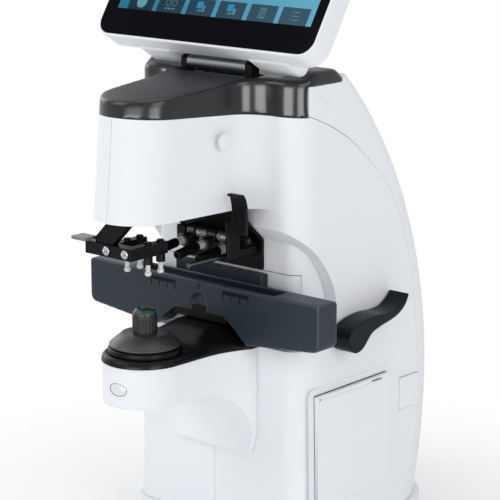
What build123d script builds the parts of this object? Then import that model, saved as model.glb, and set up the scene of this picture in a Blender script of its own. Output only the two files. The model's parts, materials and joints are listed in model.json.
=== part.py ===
"""Auto lensmeter: a desktop instrument that measures spectacle lenses.

Millimetres. The machine faces -Y, +X is the viewer's right and +Z is up. The origin is the
centre of the base on the desk. Each function makes one sub-part in its place.
"""
from build123d import *
from math import atan2, cos, degrees, pi, radians, sin, sqrt, tan
import os

# Clearances
PARTING = 0.3
FIT = 0.3
RUN = 0.05

# Body: a column with a curved back
BODY_HALF_WIDTH = 75.5
SIDE_DRAFT = 1.2
FRONT_Y = -46.0
BODY_BOTTOM = 19.0
BODY_TOP = 312.5
FRONT_CORNER = 17.0
REAR_Y = 100.0
REAR_RADIUS = 291.6
REAR_CENTRE_Z = 102.6
REAR_CORNER = 25.0
REAR_CORNER_FOOT = 40.0
REAR_CORNER_TOP = 16.0
FOOT_LEAN = 0.04
BODY_LEVELS = (50.0, 92.0, 140.0, 185.0, 225.0, 262.0, 290.0)
WALL = 2.5

# Head: the nose over the lens, and the black cap
HEAD_BOTTOM = 232.5
NOSE_Y = -114.0
NOSE_RADIUS = 27.0
NOSE_LEAN = 6.0
NOSE_ROOT_HALF = 32.0
NOSE_FLARE = 19.0
NOSE_FLOOR_RIM = 1.5
CAP_LINE_Z = 296.0
CAP_LINE_SLOPE = 0.055
CAP_RIM_FRONT = 306.0
CAP_RIM_REAR = 313.5
CAP_SIDE_Z = 309.5
CAP_STEP_Y = -34.5
CAP_REAR_Y = -3.0
CAP_LOBE_Z = 318.5
CAP_LOBE_INNER_X = 46.0
CAP_LOBE_FRONT_Y = -27.0
UNDERPLATE_THICK = 3.0
APERTURE_RADIUS = 9.0

# Throat: the notch in the housing, and the neck that stands in it
NECK_HALF = 62.5
NECK_FRONT_Y = -36.0
NECK_REAR_Y = 8.0
NECK_BOTTOM = 138.0
NECK_TOP = 218.0
NECK_CORNER = 12.0
NECK_WALL = 2.0
THROAT_LIP_Z = 143.5
SHROUD_HALF = 59.5
SHROUD_BOTTOM = 155.5
SHROUD_TOP = 189.2
SHROUD_REAR_Y = 5.0
WINDOW_GAP = 1.0

# Stand: the lower arm that carries the nosepiece
STAND_NOSE_Y = -110.0
STAND_RADIUS = 26.3
STAND_SIDE_HALF = 27.5
STAND_FLARE_Y = -82.0
STAND_ROOT_HALF = 36.8
STAND_ROOT_Y = -52.0
STAND_FOOT_HALF = 31.2
STAND_TAPER_Z = 86.0
STAND_TOP = 142.5
STAND_UNDERSIDE = 116.5
STAND_ARCH = 35.0
STAND_ARCH_Y = -85.0
STAND_FOOT_Z = 71.0
STAND_COVER_INSET = 1.5
STAND_COVER_LIP = 4.5
HILL_TOP = 159.0
HILL_HALF = 18.5
HILL_SHOULDER_HALF = 28.5
HILL_SHOULDER_Z = 153.5
HILL_FOOT_HALF = 34.5
HILL_FRONT_Y = -88.0

# Optical axis and nosepiece
AXIS_Y = -109.5
RING_RADIUS = 23.2
DOME_RADIUS = 22.3
DOME_TOP_RADIUS = 14.0
DOME_BOTTOM = 151.6
DOME_TOP = 159.2
STEM_RADIUS = 7.7
STEM_TOP = 171.0
STEM_RIBS = 20
TIP_TOP = 174.4
TIP_RADIUS = 5.4
TIP_BORE = 4.6
STEM_BORE = 5.2
SENSOR_RADIUS = 15.0
SENSOR_BOTTOM = 124.0

# Base
BASE_HALF_WIDTH = 76.8
BASE_FRONT_Y = -48.0
BASE_REAR_Y = 104.0
BASE_BOTTOM = 4.0
BASE_TOP = 18.7
TONGUE_FRONT_Y = -102.0
TONGUE_HALF = 60.0
TONGUE_TOP = 10.0
RUBBER_RADIUS = 9.0

# Lens table and its slide
TABLE_HALF = 98.0
TABLE_FRONT_Y = -60.4
TABLE_REAR_Y = -42.2
TABLE_TOP = 182.2
TABLE_BOTTOM = 146.8
TABLE_END_BOTTOM = 152.8
TABLE_FLAT_HALF = 39.0
TABLE_ARCH_Z = 161.8
TABLE_ARCH_HALF = 20.4
TABLE_GROOVE_DEPTH = 6.0
TABLE_GROOVE_HALF = 60.0
TABLE_FRONT_WALL = 3.0
TABLE_REAR_WALL = 1.5
NOTCH_HALF = 6.0
NOTCH_TOP = 173.7
NOTCH_DEPTH = 1.5
CARRIAGE_HALF = 37.3
CARRIAGE_BOTTOM = 164.0
CARRIAGE_TOP = 188.5
ROD_X = 25.0
ROD_RADIUS = 3.0
ROD_Z = 178.0
ROD_REAR_Y = 20.0
BUSH_FRONT_Y = -29.0
BUSH_LENGTH = 15.0
BUSH_RADIUS = 4.5

# Table lever, with its gear and rack
LEVER_Y = -11.0
LEVER_Z = 148.5
LEVER_INNER_X = BODY_HALF_WIDTH - 2.3
LEVER_OUTER_X = LEVER_INNER_X + 15.3
LEVER_HUB_RADIUS = 8.6
GEAR_MODULE = 2.0
GEAR_TEETH = 20
TOOTH_RISE = 1.4
TOOTH_FALL = 2.0
TOOTH_WIDTH = 2.3
GEAR_X = 33.5
GEAR_WIDTH = 5.0
RACK_BACK = 5.0
RACK_REAR_Y = 26.0
SHAFT_RADIUS = 3.0

# Lens holder
HOLDER_FRONT_Y = -133.0
HOLDER_LEFT_X = -27.0
HOLDER_RIGHT_X = 11.9
CROSSBAR_DEPTH = 7.5
PRONG_X = 8.8
PRONG_WIDTH = 6.2
PRONG_BOTTOM = 209.5
PRONG_TOP = 217.0
PRONG_REAR_Y = -100.5
ARM_LEAN = 16.0
SLIDE_HALF = 9.0
ARM_FRONT_Y = -131.5
ARM_THICK = 5.0
ARM_TOP = 258.0
PIN_HALF_PITCH_Y = 5.5
SLEEVE_RADIUS = 2.9
SLEEVE_BOTTOM = 204.5
PIN_RADIUS = 1.5
PIN_TIP_RADIUS = 2.2
PIN_TIP_BOTTOM = 197.0
PIN_TIP_TOP = 204.0
PIN_TRAVEL = 3.0

# Marking unit
PEN_PITCH_X = 18.0
MARK_Y = -45.0
MARK_Z = 209.5
MARK_SHAFT_RADIUS = 2.0
MARK_HUB_RADIUS = 3.6
MARK_RAIL_X = 25.5
MARK_RAIL_Z = 203.0
MARK_RAIL_RADIUS = 1.6
MARK_RAIL_FRONT_Y = -97.0
MARK_FRAME_HALF = 33.8
MARK_FRAME_BOTTOM = 190.8
MARK_FRAME_THICK = 2.0
MARK_BLOCK_WIDTH = 8.0
PEN_TIP_Y = -80.5
PEN_TIP_Z = 202.5
PEN_TILT = 7.0
PEN_RADIUS = 3.1
PEN_LENGTH = 31.0
CLIP_RADIUS = 4.4
MARK_LEVER_X = 40.0
MARK_LEVER_Y = -66.0
MARK_LEVER_TOP = 245.5

# Display, leaning back, on its friction hinge
DISPLAY_LEAN = 32.0
HINGE_Y = -39.7
HINGE_Z = 318.2
HINGE_RADIUS = 4.4
HINGE_HALF = 24.3
HINGE_PIN_RADIUS = 2.0
GLASS_WIDTH = 174.0
GLASS_HEIGHT = 118.0
GLASS_CORNER = 9.0
GLASS_THICK = 1.6
GLASS_FORWARD = 24.9
GLASS_RAISE = 3.3
PANEL_WIDTH = 155.0
PANEL_HEIGHT = 88.0
PANEL_RAISE = 17.5
PANEL_THICK = 4.0
DISPLAY_RIM = 3.0
DISPLAY_SIDE = 12.0
DISPLAY_DEPTH = 22.0
DISPLAY_WALL = 2.5
BULGE_HALF = 66.0

# Printer bay on the right side
BAY_OUT = 3.0
BAY_FRONT_Y = -39.5
BAY_REAR_Y = 45.0
BAY_BOTTOM = 33.0
BAY_TOP = 117.5
DOOR_FRONT_Y = -34.0
DOOR_REAR_Y = 40.0
DOOR_BOTTOM = 38.7
DOOR_TOP = 112.8
DOOR_THICK = 3.0
SLEEVE_WALL = 1.4
SLOT_HALF = 32.3
SLOT_DROP = 1.4
SLOT_HEIGHT = 1.5
ROLL_RADIUS = 20.0
ROLL_WIDTH = 57.0
ROLL_BORE = 6.5
ROLL_X = 47.0
ROLL_Y = 3.0
ROLL_Z = 67.0
PLATEN_RADIUS = 4.0
PLATEN_X = 69.0
PLATEN_Z = 103.0
BUCKET_X = 24.5
BUCKET_WALL = 2.0

# Connector flap, rear inlet and switch
FLAP_Y = 55.4
FLAP_WIDTH = 19.4
FLAP_BOTTOM = 84.3
FLAP_TOP = 106.0
FLAP_THICK = 2.0
FLAP_PROUD = 0.9
INLET_X = -16.0
INLET_Z = 52.0
INLET_WIDTH = 28.0
INLET_HEIGHT = 21.0
INLET_PROUD = 1.0
SWITCH_X = 14.0
SWITCH_WIDTH = 13.0

# Read button on the nose of the stand
BUTTON_WIDTH = 17.0
BUTTON_HEIGHT = 8.6
BUTTON_X = 2.5
BUTTON_Z = 128.5
BUTTON_PROUD = 1.0

# Chassis
CHASSIS_SHEET = 3.0
UPRIGHT_Y = 16.0
UPRIGHT_HALF = 45.0


def box(x0, x1, y0, y1, z0, z1):
    """A box between two corners."""
    size = (x1 - x0, y1 - y0, z1 - z0)
    centre = ((x0 + x1) / 2, (y0 + y1) / 2, (z0 + z1) / 2)
    return Pos(*centre) * Box(*size)


def rod_x(radius, x0, x1, y, z):
    """A cylinder along X."""
    return Pos((x0 + x1) / 2, y, z) * Rot(0, 90, 0) * Cylinder(radius, x1 - x0)


def rod_y(radius, y0, y1, x, z):
    """A cylinder along Y."""
    return Pos(x, (y0 + y1) / 2, z) * Rot(90, 0, 0) * Cylinder(radius, y1 - y0)


def rod_z(radius, z0, z1, x, y):
    """A cylinder along Z."""
    return Pos(x, y, (z0 + z1) / 2) * Cylinder(radius, z1 - z0)


def side_extrude(outline, x0, x1):
    """Push a side outline, drawn as (y, z) points, from x0 to x1."""
    face = Plane.YZ * make_face(Polyline(*outline, close=True))
    return Pos(x0, 0, 0) * extrude(face, x1 - x0)


def half_width(z):
    """Half the body's width at a height: the sides lean in as they rise."""
    return BODY_HALF_WIDTH - z * tan(radians(SIDE_DRAFT))


def rear_y(z):
    """How far back the body reaches at a height: an arc above, nearly upright below."""
    if z < REAR_CENTRE_Z:
        return REAR_Y - (REAR_CENTRE_Z - z) * FOOT_LEAN
    rise = z - REAR_CENTRE_Z
    return REAR_Y - REAR_RADIUS + sqrt(REAR_RADIUS ** 2 - rise ** 2)


def rear_corner(z):
    """The rear corner's radius: large at the foot, smaller at the crown."""
    if z < REAR_CENTRE_Z:
        share = (REAR_CENTRE_Z - z) / (REAR_CENTRE_Z - BODY_BOTTOM)
        return REAR_CORNER + (REAR_CORNER_FOOT - REAR_CORNER) * share ** 2
    share = (z - REAR_CENTRE_Z) / (BODY_TOP - REAR_CENTRE_Z)
    return REAR_CORNER + (REAR_CORNER_TOP - REAR_CORNER) * share


def body_section(z, inset=0.0):
    """The body's outline at a height, as a face."""
    wide = half_width(z) - inset
    front = FRONT_Y + inset
    rear = rear_y(z) - inset
    plane = Plane((0, (front + rear) / 2, z))
    outline = Rectangle(2 * wide, rear - front)
    fronts = outline.vertices().sort_by(Axis.Y)[:2]
    outline = fillet(fronts, FRONT_CORNER - inset)
    rears = [v for v in outline.vertices() if v.Y > (rear - front) / 2 - 0.01]
    outline = fillet(rears, rear_corner(z) - inset)
    return plane * outline


def body_form(inset=0.0, drop=0.0):
    """The column with its curved back, lofted through level outlines."""
    levels = (BODY_BOTTOM - drop, *BODY_LEVELS, BODY_TOP - inset)
    return loft([body_section(z, inset) for z in levels])


def nose_section(z, shift, inset=0.0):
    """The head's outline at a height: a round nose that flares into the shoulders."""
    radius = NOSE_RADIUS - inset
    root = NOSE_ROOT_HALF - inset
    nose_y = NOSE_Y + shift
    wide = half_width(z) - FRONT_CORNER
    front = FRONT_Y + inset
    back = FRONT_Y + 3 * FRONT_CORNER
    side = Polyline((radius, nose_y), (root, front), (wide, front), (wide, back))
    other = mirror(side, Plane.YZ)
    tip = ThreePointArc((radius, nose_y), (0, nose_y - radius), (-radius, nose_y))
    rear = Line((wide, back), (-wide, back))
    outline = make_face(Curve() + [side, other, tip, rear])
    flares = [v for v in outline.vertices() if abs(v.Y - front) < 0.01 and abs(v.X) < root + 0.01]
    outline = fillet(flares, NOSE_FLARE + inset)
    return Plane((0, 0, z)) * outline


def head_form(inset=0.0, rise=8.0):
    """The nose over the lens, leaning back a little as it rises."""
    top = BODY_TOP + rise
    lean = NOSE_LEAN * (top - HEAD_BOTTOM) / (CAP_LINE_Z - HEAD_BOTTOM)
    low = nose_section(HEAD_BOTTOM, 0.0, inset)
    return loft([low, nose_section(top, lean, inset)], ruled=True)


def throat_prism(grow=0.0):
    """All that lies in front of the throat's edge, seen from the side. Growing takes it deeper."""
    top = HEAD_BOTTOM + grow
    low = THROAT_LIP_Z - grow
    edge = Spline(
        (FRONT_Y - 18, top), (FRONT_Y - 9 + grow / 2, 230 + grow), (FRONT_Y + grow, 220 + grow / 2),
        (-33.8 + grow, 208.7 + grow / 2), (-24.8 + grow, 199.4 + grow / 2), (-15.7 + grow, 186.2),
        (-11.2 + grow, 173.0), (-14.0 + grow, 159.5), (-25.0 + grow / 2, 149.5 - grow), (FRONT_Y, low))
    front = FRONT_Y - 130
    rest = Polyline((FRONT_Y, low), (front, low), (front, top), (FRONT_Y - 18, top))
    side = Plane.YZ * make_face(Curve() + [edge, rest])
    return extrude(side, 120, both=True)


def neck_block(grow=0.0, low=NECK_BOTTOM, high=NECK_TOP):
    """The upright block in the throat, with rounded front corners."""
    half = NECK_HALF + grow
    front = NECK_FRONT_Y - grow
    block = box(-half, half, front, NECK_REAR_Y, low, high)
    edges = block.edges().filter_by(Axis.Z).group_by(Axis.Y)[0]
    return fillet(edges, NECK_CORNER + grow)


def cap_region(drop=0.0):
    """The space above the cap's parting line: low over the nose, a narrow band at the rear."""
    slope = degrees(atan2(CAP_LINE_SLOPE, 1))
    start = Pos(0, NOSE_Y - 21, CAP_LINE_Z - drop)
    low = start * Rot(-slope, 0, 0) * Pos(0, 0, 40) * Box(200, 400, 80)
    front = low & box(-100, 100, -200, CAP_STEP_Y + drop, 250, 400)
    rear = box(-100, 100, CAP_STEP_Y - 1, CAP_REAR_Y + drop, CAP_SIDE_Z - drop, 400)
    return front + rear


def rear_region(shift=0.0):
    """Everything behind the curved seam, seen from the side."""
    start = (-44.0 + shift, 294.0 + shift)
    end = (58.0 + shift, 10.0)
    seam = Spline(
        start, (-16.3 + shift, 283.7 + shift), (3.7 + shift, 272.6 + shift), (24.4 + shift, 256.0),
        (45.9 + shift, 233.9), (60.0 + shift, 205.0), (69.0 + shift, 172.0), (74.5 + shift, 130.0),
        (76.0 + shift, 92.0), (72.0 + shift, 55.0), end)
    rest = Polyline(end, (140, 10), (140, 340), (start[0], 340), start)
    side = Plane.YZ * make_face(Curve() + [seam, rest])
    return extrude(side, 120, both=True)


def leaning(part):
    """Lean a piece built on the right side plane to follow the side's draft."""
    return Rot(0, -SIDE_DRAFT, 0) * part


def inlet_box(grow=0.0):
    """The inlet's body where it crosses the rear wall."""
    half = INLET_WIDTH / 2 + grow
    tall = INLET_HEIGHT / 2 + grow
    return box(INLET_X - half, INLET_X + half, 76, 110, INLET_Z - tall, INLET_Z + tall)


def switch_box(grow=0.0):
    """The switch's body where it crosses the rear wall."""
    half = SWITCH_WIDTH / 2 + grow
    tall = INLET_HEIGHT / 2 + grow
    return box(SWITCH_X - half, SWITCH_X + half, 84, 110, INLET_Z - tall, INLET_Z + tall)


def head_opening(inset):
    """The opening in the underside of the nose."""
    low = extrude(nose_section(HEAD_BOTTOM, 0.0, inset), 6)
    return low & box(-60, 60, -160, FRONT_Y - 18 - inset, HEAD_BOTTOM - 5, HEAD_BOTTOM + 9)


def shell_blank():
    """The white housing as one hollow wall, before it is parted."""
    outer = body_form() + head_form()
    inner = body_form(WALL, drop=3) + head_form(WALL)
    outer -= throat_prism()
    inner -= throat_prism(WALL)
    blank = outer - inner
    blank -= neck_block(FIT)
    blank -= Pos(0, 0, -2) * head_opening(WALL + NOSE_FLOOR_RIM)
    blank -= cap_region()
    blank -= rod_x(SHAFT_RADIUS + 0.6, 60, 80, LEVER_Y, LEVER_Z)
    around = SLEEVE_WALL + FIT
    blank -= leaning(box(60, 90, DOOR_FRONT_Y - around, DOOR_REAR_Y + around, DOOR_BOTTOM - around, DOOR_TOP + around))
    gap = FIT + 0.1
    blank -= box(65, 80, FLAP_Y - gap, FLAP_Y + FLAP_WIDTH + gap, FLAP_BOTTOM - gap, FLAP_TOP + gap)
    blank -= box(-14, 14, FRONT_Y - 2, FRONT_Y + 4, 119, 125)
    blank -= inlet_box(FIT)
    blank -= switch_box(FIT)
    return blank


def shells():
    """The left, right and rear shells, parted along the middle and the curved seam."""
    blank = shell_blank()
    rear = blank & rear_region(PARTING)
    front = blank - rear_region()
    right = front & box(PARTING / 2, 120, -200, 200, 0, 400)
    left = front & box(-120, -PARTING / 2, -200, 200, 0, 400)
    return left, right, rear


def roof_prism(drop=0.0):
    """The space under the cap's roof, seen from the side."""
    points = [(-160, CAP_RIM_FRONT - 1.6 - drop), (FRONT_Y - 4, CAP_RIM_REAR - drop),
              (CAP_REAR_Y + 20, CAP_RIM_REAR - drop), (CAP_REAR_Y + 20, 280), (-160, 280)]
    return side_extrude(points, -100, 100)


def lobe_prism(drop=0.0):
    """The two raised lobes behind the display's foot."""
    foot = CAP_LOBE_FRONT_Y - 9
    points = [(foot, 300), (foot, CAP_RIM_REAR - drop), (CAP_LOBE_FRONT_Y, CAP_LOBE_Z - drop),
              (CAP_REAR_Y - 6.5, CAP_LOBE_Z - drop), (CAP_REAR_Y, CAP_RIM_REAR - drop), (CAP_REAR_Y + 20, CAP_RIM_REAR - 8 - drop),
              (CAP_REAR_Y + 20, 300)]
    right = side_extrude(points, CAP_LOBE_INNER_X + drop, 100)
    return right + mirror(right, Plane.YZ)


def cap_outline(inset=0.0):
    """The head and shoulders pushed straight up, for the cap's sides."""
    rear = CAP_REAR_Y - inset
    tall = extrude(body_section(288, inset), 50) + head_form(inset, rise=20)
    return tall & box(-100, 100, -160, rear, 285, 330)


def top_cover():
    """The black cap over the head, with its rim, roof and rear lobes."""
    cap = cap_outline() & (roof_prism() + lobe_prism()) & cap_region(-PARTING)
    cap -= cap_outline(WALL) & (roof_prism(WALL) + lobe_prism(WALL))
    return cap - box(-31, 31, HINGE_Y - 7, HINGE_Y + 7, 300, 330)


def head_underplate():
    """The black plate under the nose: light aperture, holder slot and the holder's guide."""
    top = HEAD_BOTTOM + FIT + UNDERPLATE_THICK
    plate = head_opening(WALL + NOSE_FLOOR_RIM + FIT) & box(-60, 60, -160, 0, HEAD_BOTTOM + FIT, top)
    plate -= rod_z(APERTURE_RADIUS, HEAD_BOTTOM - 1, HEAD_BOTTOM + 9, 0, AXIS_Y)
    rear = ARM_FRONT_Y + ARM_THICK
    plate -= box(-SLIDE_HALF - 0.5, SLIDE_HALF + 0.5, ARM_FRONT_Y - 0.5, rear + 0.4, HEAD_BOTTOM - 1, top + 1)
    for x in (-18, 18):
        for y in (-78, -120):
            plate += rod_z(2.5, top - 1, 266, x, y)
    for side in (-1, 1):
        x0, x1 = sorted((side * (SLIDE_HALF + 0.4), side * (SLIDE_HALF + 3.2)))
        plate += box(x0, x1, ARM_FRONT_Y + 0.5, rear + 1, top - 1, 266)
    return plate + box(-SLIDE_HALF - 3.2, SLIDE_HALF + 3.2, rear + 0.4, rear + 2.9, top - 1, 266)


def light_source():
    """The lamp block above the aperture, with the lens that spreads its light."""
    lamp = rod_z(11, 242, 266, 0, AXIS_Y) + rod_z(13, 256, 262, 0, AXIS_Y)
    lens = rod_z(APERTURE_RADIUS - FIT, HEAD_BOTTOM + 1, 242, 0, AXIS_Y)
    return lamp + lens + rod_z(APERTURE_RADIUS + 2, HEAD_BOTTOM + UNDERPLATE_THICK + 0.6, 238.5, 0, AXIS_Y)


def stand_plan(inset=0.0, rear=FRONT_Y - FIT):
    """The stand seen from above: a round nose that flares into the column."""
    side = Line((STAND_RADIUS, STAND_NOSE_Y), (STAND_SIDE_HALF, STAND_FLARE_Y))
    flare = ThreePointArc((STAND_SIDE_HALF, STAND_FLARE_Y), (30.7, -66.4),
                          (STAND_ROOT_HALF, STAND_ROOT_Y))
    root = Line((STAND_ROOT_HALF, STAND_ROOT_Y), (STAND_ROOT_HALF, rear))
    half = Curve() + [side, flare, root]
    other = mirror(half, Plane.YZ)
    tip = ThreePointArc((STAND_RADIUS, STAND_NOSE_Y), (0, STAND_NOSE_Y - STAND_RADIUS), (-STAND_RADIUS, STAND_NOSE_Y))
    back = Line((STAND_ROOT_HALF, rear), (-STAND_ROOT_HALF, rear))
    face = make_face(Curve() + [*half.edges(), *other.edges(), tip, back])
    return offset(face, -inset) if inset else face


def stand_side(inset=0.0, rear=FRONT_Y - FIT):
    """The stand seen from the side: level under the nose, then an arch down to the column."""
    floor = STAND_UNDERSIDE + inset
    radius = STAND_ARCH + inset
    centre_z = STAND_UNDERSIDE - STAND_ARCH
    arch_y = STAND_ARCH_Y + radius
    low = STAND_FOOT_Z + inset
    top = STAND_TOP + (5 if inset else 0)
    around = Polyline((-160, floor), (-160, top), (rear, top), (rear, low), (arch_y, low), (arch_y, centre_z))
    turn = radius * cos(radians(45))
    arch = ThreePointArc((arch_y, centre_z), (STAND_ARCH_Y + turn, centre_z + turn), (STAND_ARCH_Y, floor))
    level = Line((STAND_ARCH_Y, floor), (-160, floor))
    return extrude(Plane.YZ * make_face(Curve() + [around, arch, level]), 80, both=True)


def stand_form(inset=0.0, rear=FRONT_Y - FIT):
    """The stand's solid form, or its hollow."""
    low = STAND_FOOT_Z - 5
    tall = Pos(0, 0, low) * extrude(stand_plan(inset, rear), 90, dir=(0, 0, 1))
    taper = [(STAND_ROOT_HALF - inset + 0.1, STAND_TAPER_Z), (STAND_FOOT_HALF - inset, low), (STAND_ROOT_HALF + 20, low),
             (STAND_ROOT_HALF + 20, STAND_TAPER_Z)]
    wedge = Pos(0, FRONT_Y + 20, 0) * extrude(Plane.XZ * make_face(Polyline(*taper, close=True)), 60)
    return (tall & stand_side(inset, rear)) - wedge - mirror(wedge, Plane.YZ)


def stand_housing():
    """The white lower arm, hollow, open above for its cover."""
    arm = stand_form() - stand_form(WALL, FRONT_Y + 5)
    return arm - button_form(0.4, 30)


def button_form(grow=0.0, depth=6.0):
    """The oval button's outline pushed back from the stand's nose."""
    oval = Plane.XZ * SlotOverall(BUTTON_WIDTH + 2 * grow, BUTTON_HEIGHT + 2 * grow)
    front = STAND_NOSE_Y - STAND_RADIUS - BUTTON_PROUD - 0.2
    return Pos(BUTTON_X, front, BUTTON_Z) * extrude(oval, -depth)


def read_button():
    """The oval button, its face rounded with the nose, with a stem behind."""
    nose = rod_z(STAND_RADIUS + BUTTON_PROUD, BUTTON_Z - 20, BUTTON_Z + 20, 0, STAND_NOSE_Y)
    return (button_form(0.0, 8.0) & nose) + rod_y(2.0, -131, -128.2, BUTTON_X, BUTTON_Z)


def stand_cover():
    """The black top of the stand, with the hill that rises under the table."""
    inset = STAND_COVER_INSET
    flange = extrude(stand_plan(inset, FRONT_Y + inset - 0.6), STAND_COVER_LIP, dir=(0, 0, 1))
    foot = STAND_TOP + STAND_COVER_LIP - 0.5
    hill = [(-HILL_FOOT_HALF, STAND_TOP + 1), (-HILL_FOOT_HALF, foot), (-HILL_SHOULDER_HALF, HILL_SHOULDER_Z),
            (-HILL_HALF, HILL_TOP), (HILL_HALF, HILL_TOP), (HILL_SHOULDER_HALF, HILL_SHOULDER_Z),
            (HILL_FOOT_HALF, foot), (HILL_FOOT_HALF, STAND_TOP + 1)]
    section = Plane.XZ * make_face(Polyline(*hill, close=True))
    rear = NECK_FRONT_Y - 0.8
    ridge = Pos(0, rear, 0) * extrude(section, rear - HILL_FRONT_Y)
    ridge = ridge & Pos(0, 0, STAND_TOP) * extrude(stand_plan(inset, rear + inset), 30, dir=(0, 0, 1))
    slope = [(HILL_FRONT_Y - 30, foot), (HILL_FRONT_Y, foot + 2.5), (HILL_FRONT_Y + 13, 155.5),
             (HILL_FRONT_Y + 24, HILL_TOP + 0.5), (HILL_FRONT_Y + 24, 180), (HILL_FRONT_Y - 30, 180)]
    ridge -= side_extrude(slope, -60, 60)
    ridge -= box(-60, 60, FRONT_Y - 0.9, 0, 130, STAND_TOP + STAND_COVER_LIP)
    cover = Pos(0, 0, STAND_TOP) * flange + ridge
    cover -= rod_z(RING_RADIUS + FIT, STAND_TOP + STAND_COVER_LIP, 180, 0, AXIS_Y)
    return cover - rod_z(STEM_BORE + 1.5, STAND_TOP - 5, 170, 0, AXIS_Y)


def nosepiece_base():
    """The stepped ring and the dome under the lens support."""
    ring = rod_z(RING_RADIUS, STAND_TOP + STAND_COVER_LIP, DOME_BOTTOM - 0.8, 0, AXIS_Y)
    base = fillet(ring.edges().filter_by(GeomType.CIRCLE), 1.2) + rod_z(DOME_RADIUS - 1.5, DOME_BOTTOM - 2, DOME_BOTTOM + 1, 0, AXIS_Y)
    foot = [(0, DOME_BOTTOM), (DOME_RADIUS, DOME_BOTTOM), (DOME_RADIUS, DOME_BOTTOM + 0.8), (DOME_TOP_RADIUS, DOME_TOP), (0, DOME_TOP)]
    dome = revolve(Plane.XZ * make_face(Polyline(*foot, close=True)), Axis.Z)
    base += Pos(0, AXIS_Y, 0) * dome
    return base - rod_z(STEM_BORE + 0.8, 140, 170, 0, AXIS_Y)


def nosepiece_stem():
    """The ribbed black stem."""
    stem = rod_z(STEM_RADIUS, DOME_TOP, STEM_TOP, 0, AXIS_Y)
    for i in range(STEM_RIBS):
        turn = radians(360 / STEM_RIBS * i)
        x = (STEM_RADIUS + 0.35) * cos(turn)
        y = AXIS_Y + (STEM_RADIUS + 0.35) * sin(turn)
        stem -= rod_z(0.7, DOME_TOP + 3, STEM_TOP - 2, x, y)
    stem += rod_z(STEM_BORE + 0.7, STAND_TOP + STAND_COVER_LIP + 0.5, DOME_TOP, 0, AXIS_Y)
    return stem - rod_z(STEM_BORE - 0.6, 140, 180, 0, AXIS_Y)


def nosepiece_tip():
    """The green-tinted cone that the lens rests on."""
    cone = Pos(0, AXIS_Y, (STEM_TOP + TIP_TOP) / 2) * Cone(STEM_RADIUS - 0.4, TIP_RADIUS, TIP_TOP - STEM_TOP)
    return cone - rod_z(TIP_BORE, 160, 180, 0, AXIS_Y)


def sensor_window():
    """The glass window low in the nosepiece."""
    return rod_z(STEM_BORE + 1.2, STAND_TOP - 0.4, STAND_TOP + 1.6, 0, AXIS_Y)


def sensor_module():
    """The sensor under the window, with the read button's switch in front."""
    can = rod_z(SENSOR_RADIUS, SENSOR_BOTTOM, STAND_TOP - 3.0, 0, AXIS_Y)
    can += rod_z(STEM_BORE + 1.0, STAND_TOP - 3.0, STAND_TOP - 0.6, 0, AXIS_Y)
    return can + box(BUTTON_X - 5, BUTTON_X + 5, -126.0, -118, SENSOR_BOTTOM, BUTTON_Z + 5)


def base_plate():
    """The white base with its front tongue."""
    body = box(-BASE_HALF_WIDTH, BASE_HALF_WIDTH, BASE_FRONT_Y, BASE_REAR_Y, BASE_BOTTOM, BASE_TOP)
    body = fillet(body.edges().filter_by(Axis.Z).group_by(Axis.Y)[-1], REAR_CORNER_FOOT + 3)
    body = fillet(body.edges().filter_by(Axis.Z).group_by(Axis.Y)[0], FRONT_CORNER + 1)
    tongue = box(-TONGUE_HALF, TONGUE_HALF, TONGUE_FRONT_Y, 0, BASE_BOTTOM, TONGUE_TOP)
    tongue = fillet(tongue.edges().filter_by(Axis.Z).group_by(Axis.Y)[0], 24)
    tongue = fillet([e for e in tongue.edges().group_by(Axis.Z)[-1] if e.center().Y < -30], 2.5)
    return body + tongue


def base_feet():
    """Four rubber feet."""
    feet = []
    for x, y in ((-46, -80), (46, -80), (-50, 72), (50, 72)):
        feet.append(rod_z(RUBBER_RADIUS, 0, BASE_BOTTOM, x, y))
    return Compound(children=feet)


def chassis():
    """The steel frame: foot, upright, stand arm, head arm and bearing cheeks."""
    t = CHASSIS_SHEET
    y0, y1 = UPRIGHT_Y, UPRIGHT_Y + t
    foot = box(-58, 18, -36, 72, BASE_TOP, BASE_TOP + t)
    frame = foot + box(-UPRIGHT_HALF, 18, y0, y1, BASE_TOP, 128)
    frame += box(-UPRIGHT_HALF, 55, y0, y1, 125, 286)
    for x in (-32, 32):
        frame -= box(x - 9, x + 9, y0 - 5, y1 + 5, 196, 240)
    frame += box(-12, 12, -118, y1, STAND_UNDERSIDE + WALL + FIT, SENSOR_BOTTOM)
    frame += box(-20, 20, -122, y1, 266, 270)
    for x in (24.5, 50):
        cheek = box(x, x + t, -19, y1, LEVER_Z - 9.5, LEVER_Z + 8.5)
        frame += cheek - rod_x(SHAFT_RADIUS + RUN, x - 1, x + 5, LEVER_Y, LEVER_Z)
    for x in (-ROD_X, ROD_X):
        frame += box(x - 6.0, x + 5.0, BUSH_FRONT_Y + 2, y1, ROD_Z - 6, ROD_Z + 7)
        frame -= rod_y(BUSH_RADIUS, -60, 40, x, ROD_Z)
    rack_z = LEVER_Z + GEAR_MODULE * GEAR_TEETH / 2
    frame -= box(GEAR_X - 3, GEAR_X + 3, y0 - 5, y1 + 5, rack_z - 4, rack_z + 9)
    frame += box(-20, 20, HINGE_Y - 6, y1, 282, 286)
    frame += box(-20, 20, HINGE_Y - 6, HINGE_Y + 6, 286, 305)
    return frame


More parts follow.
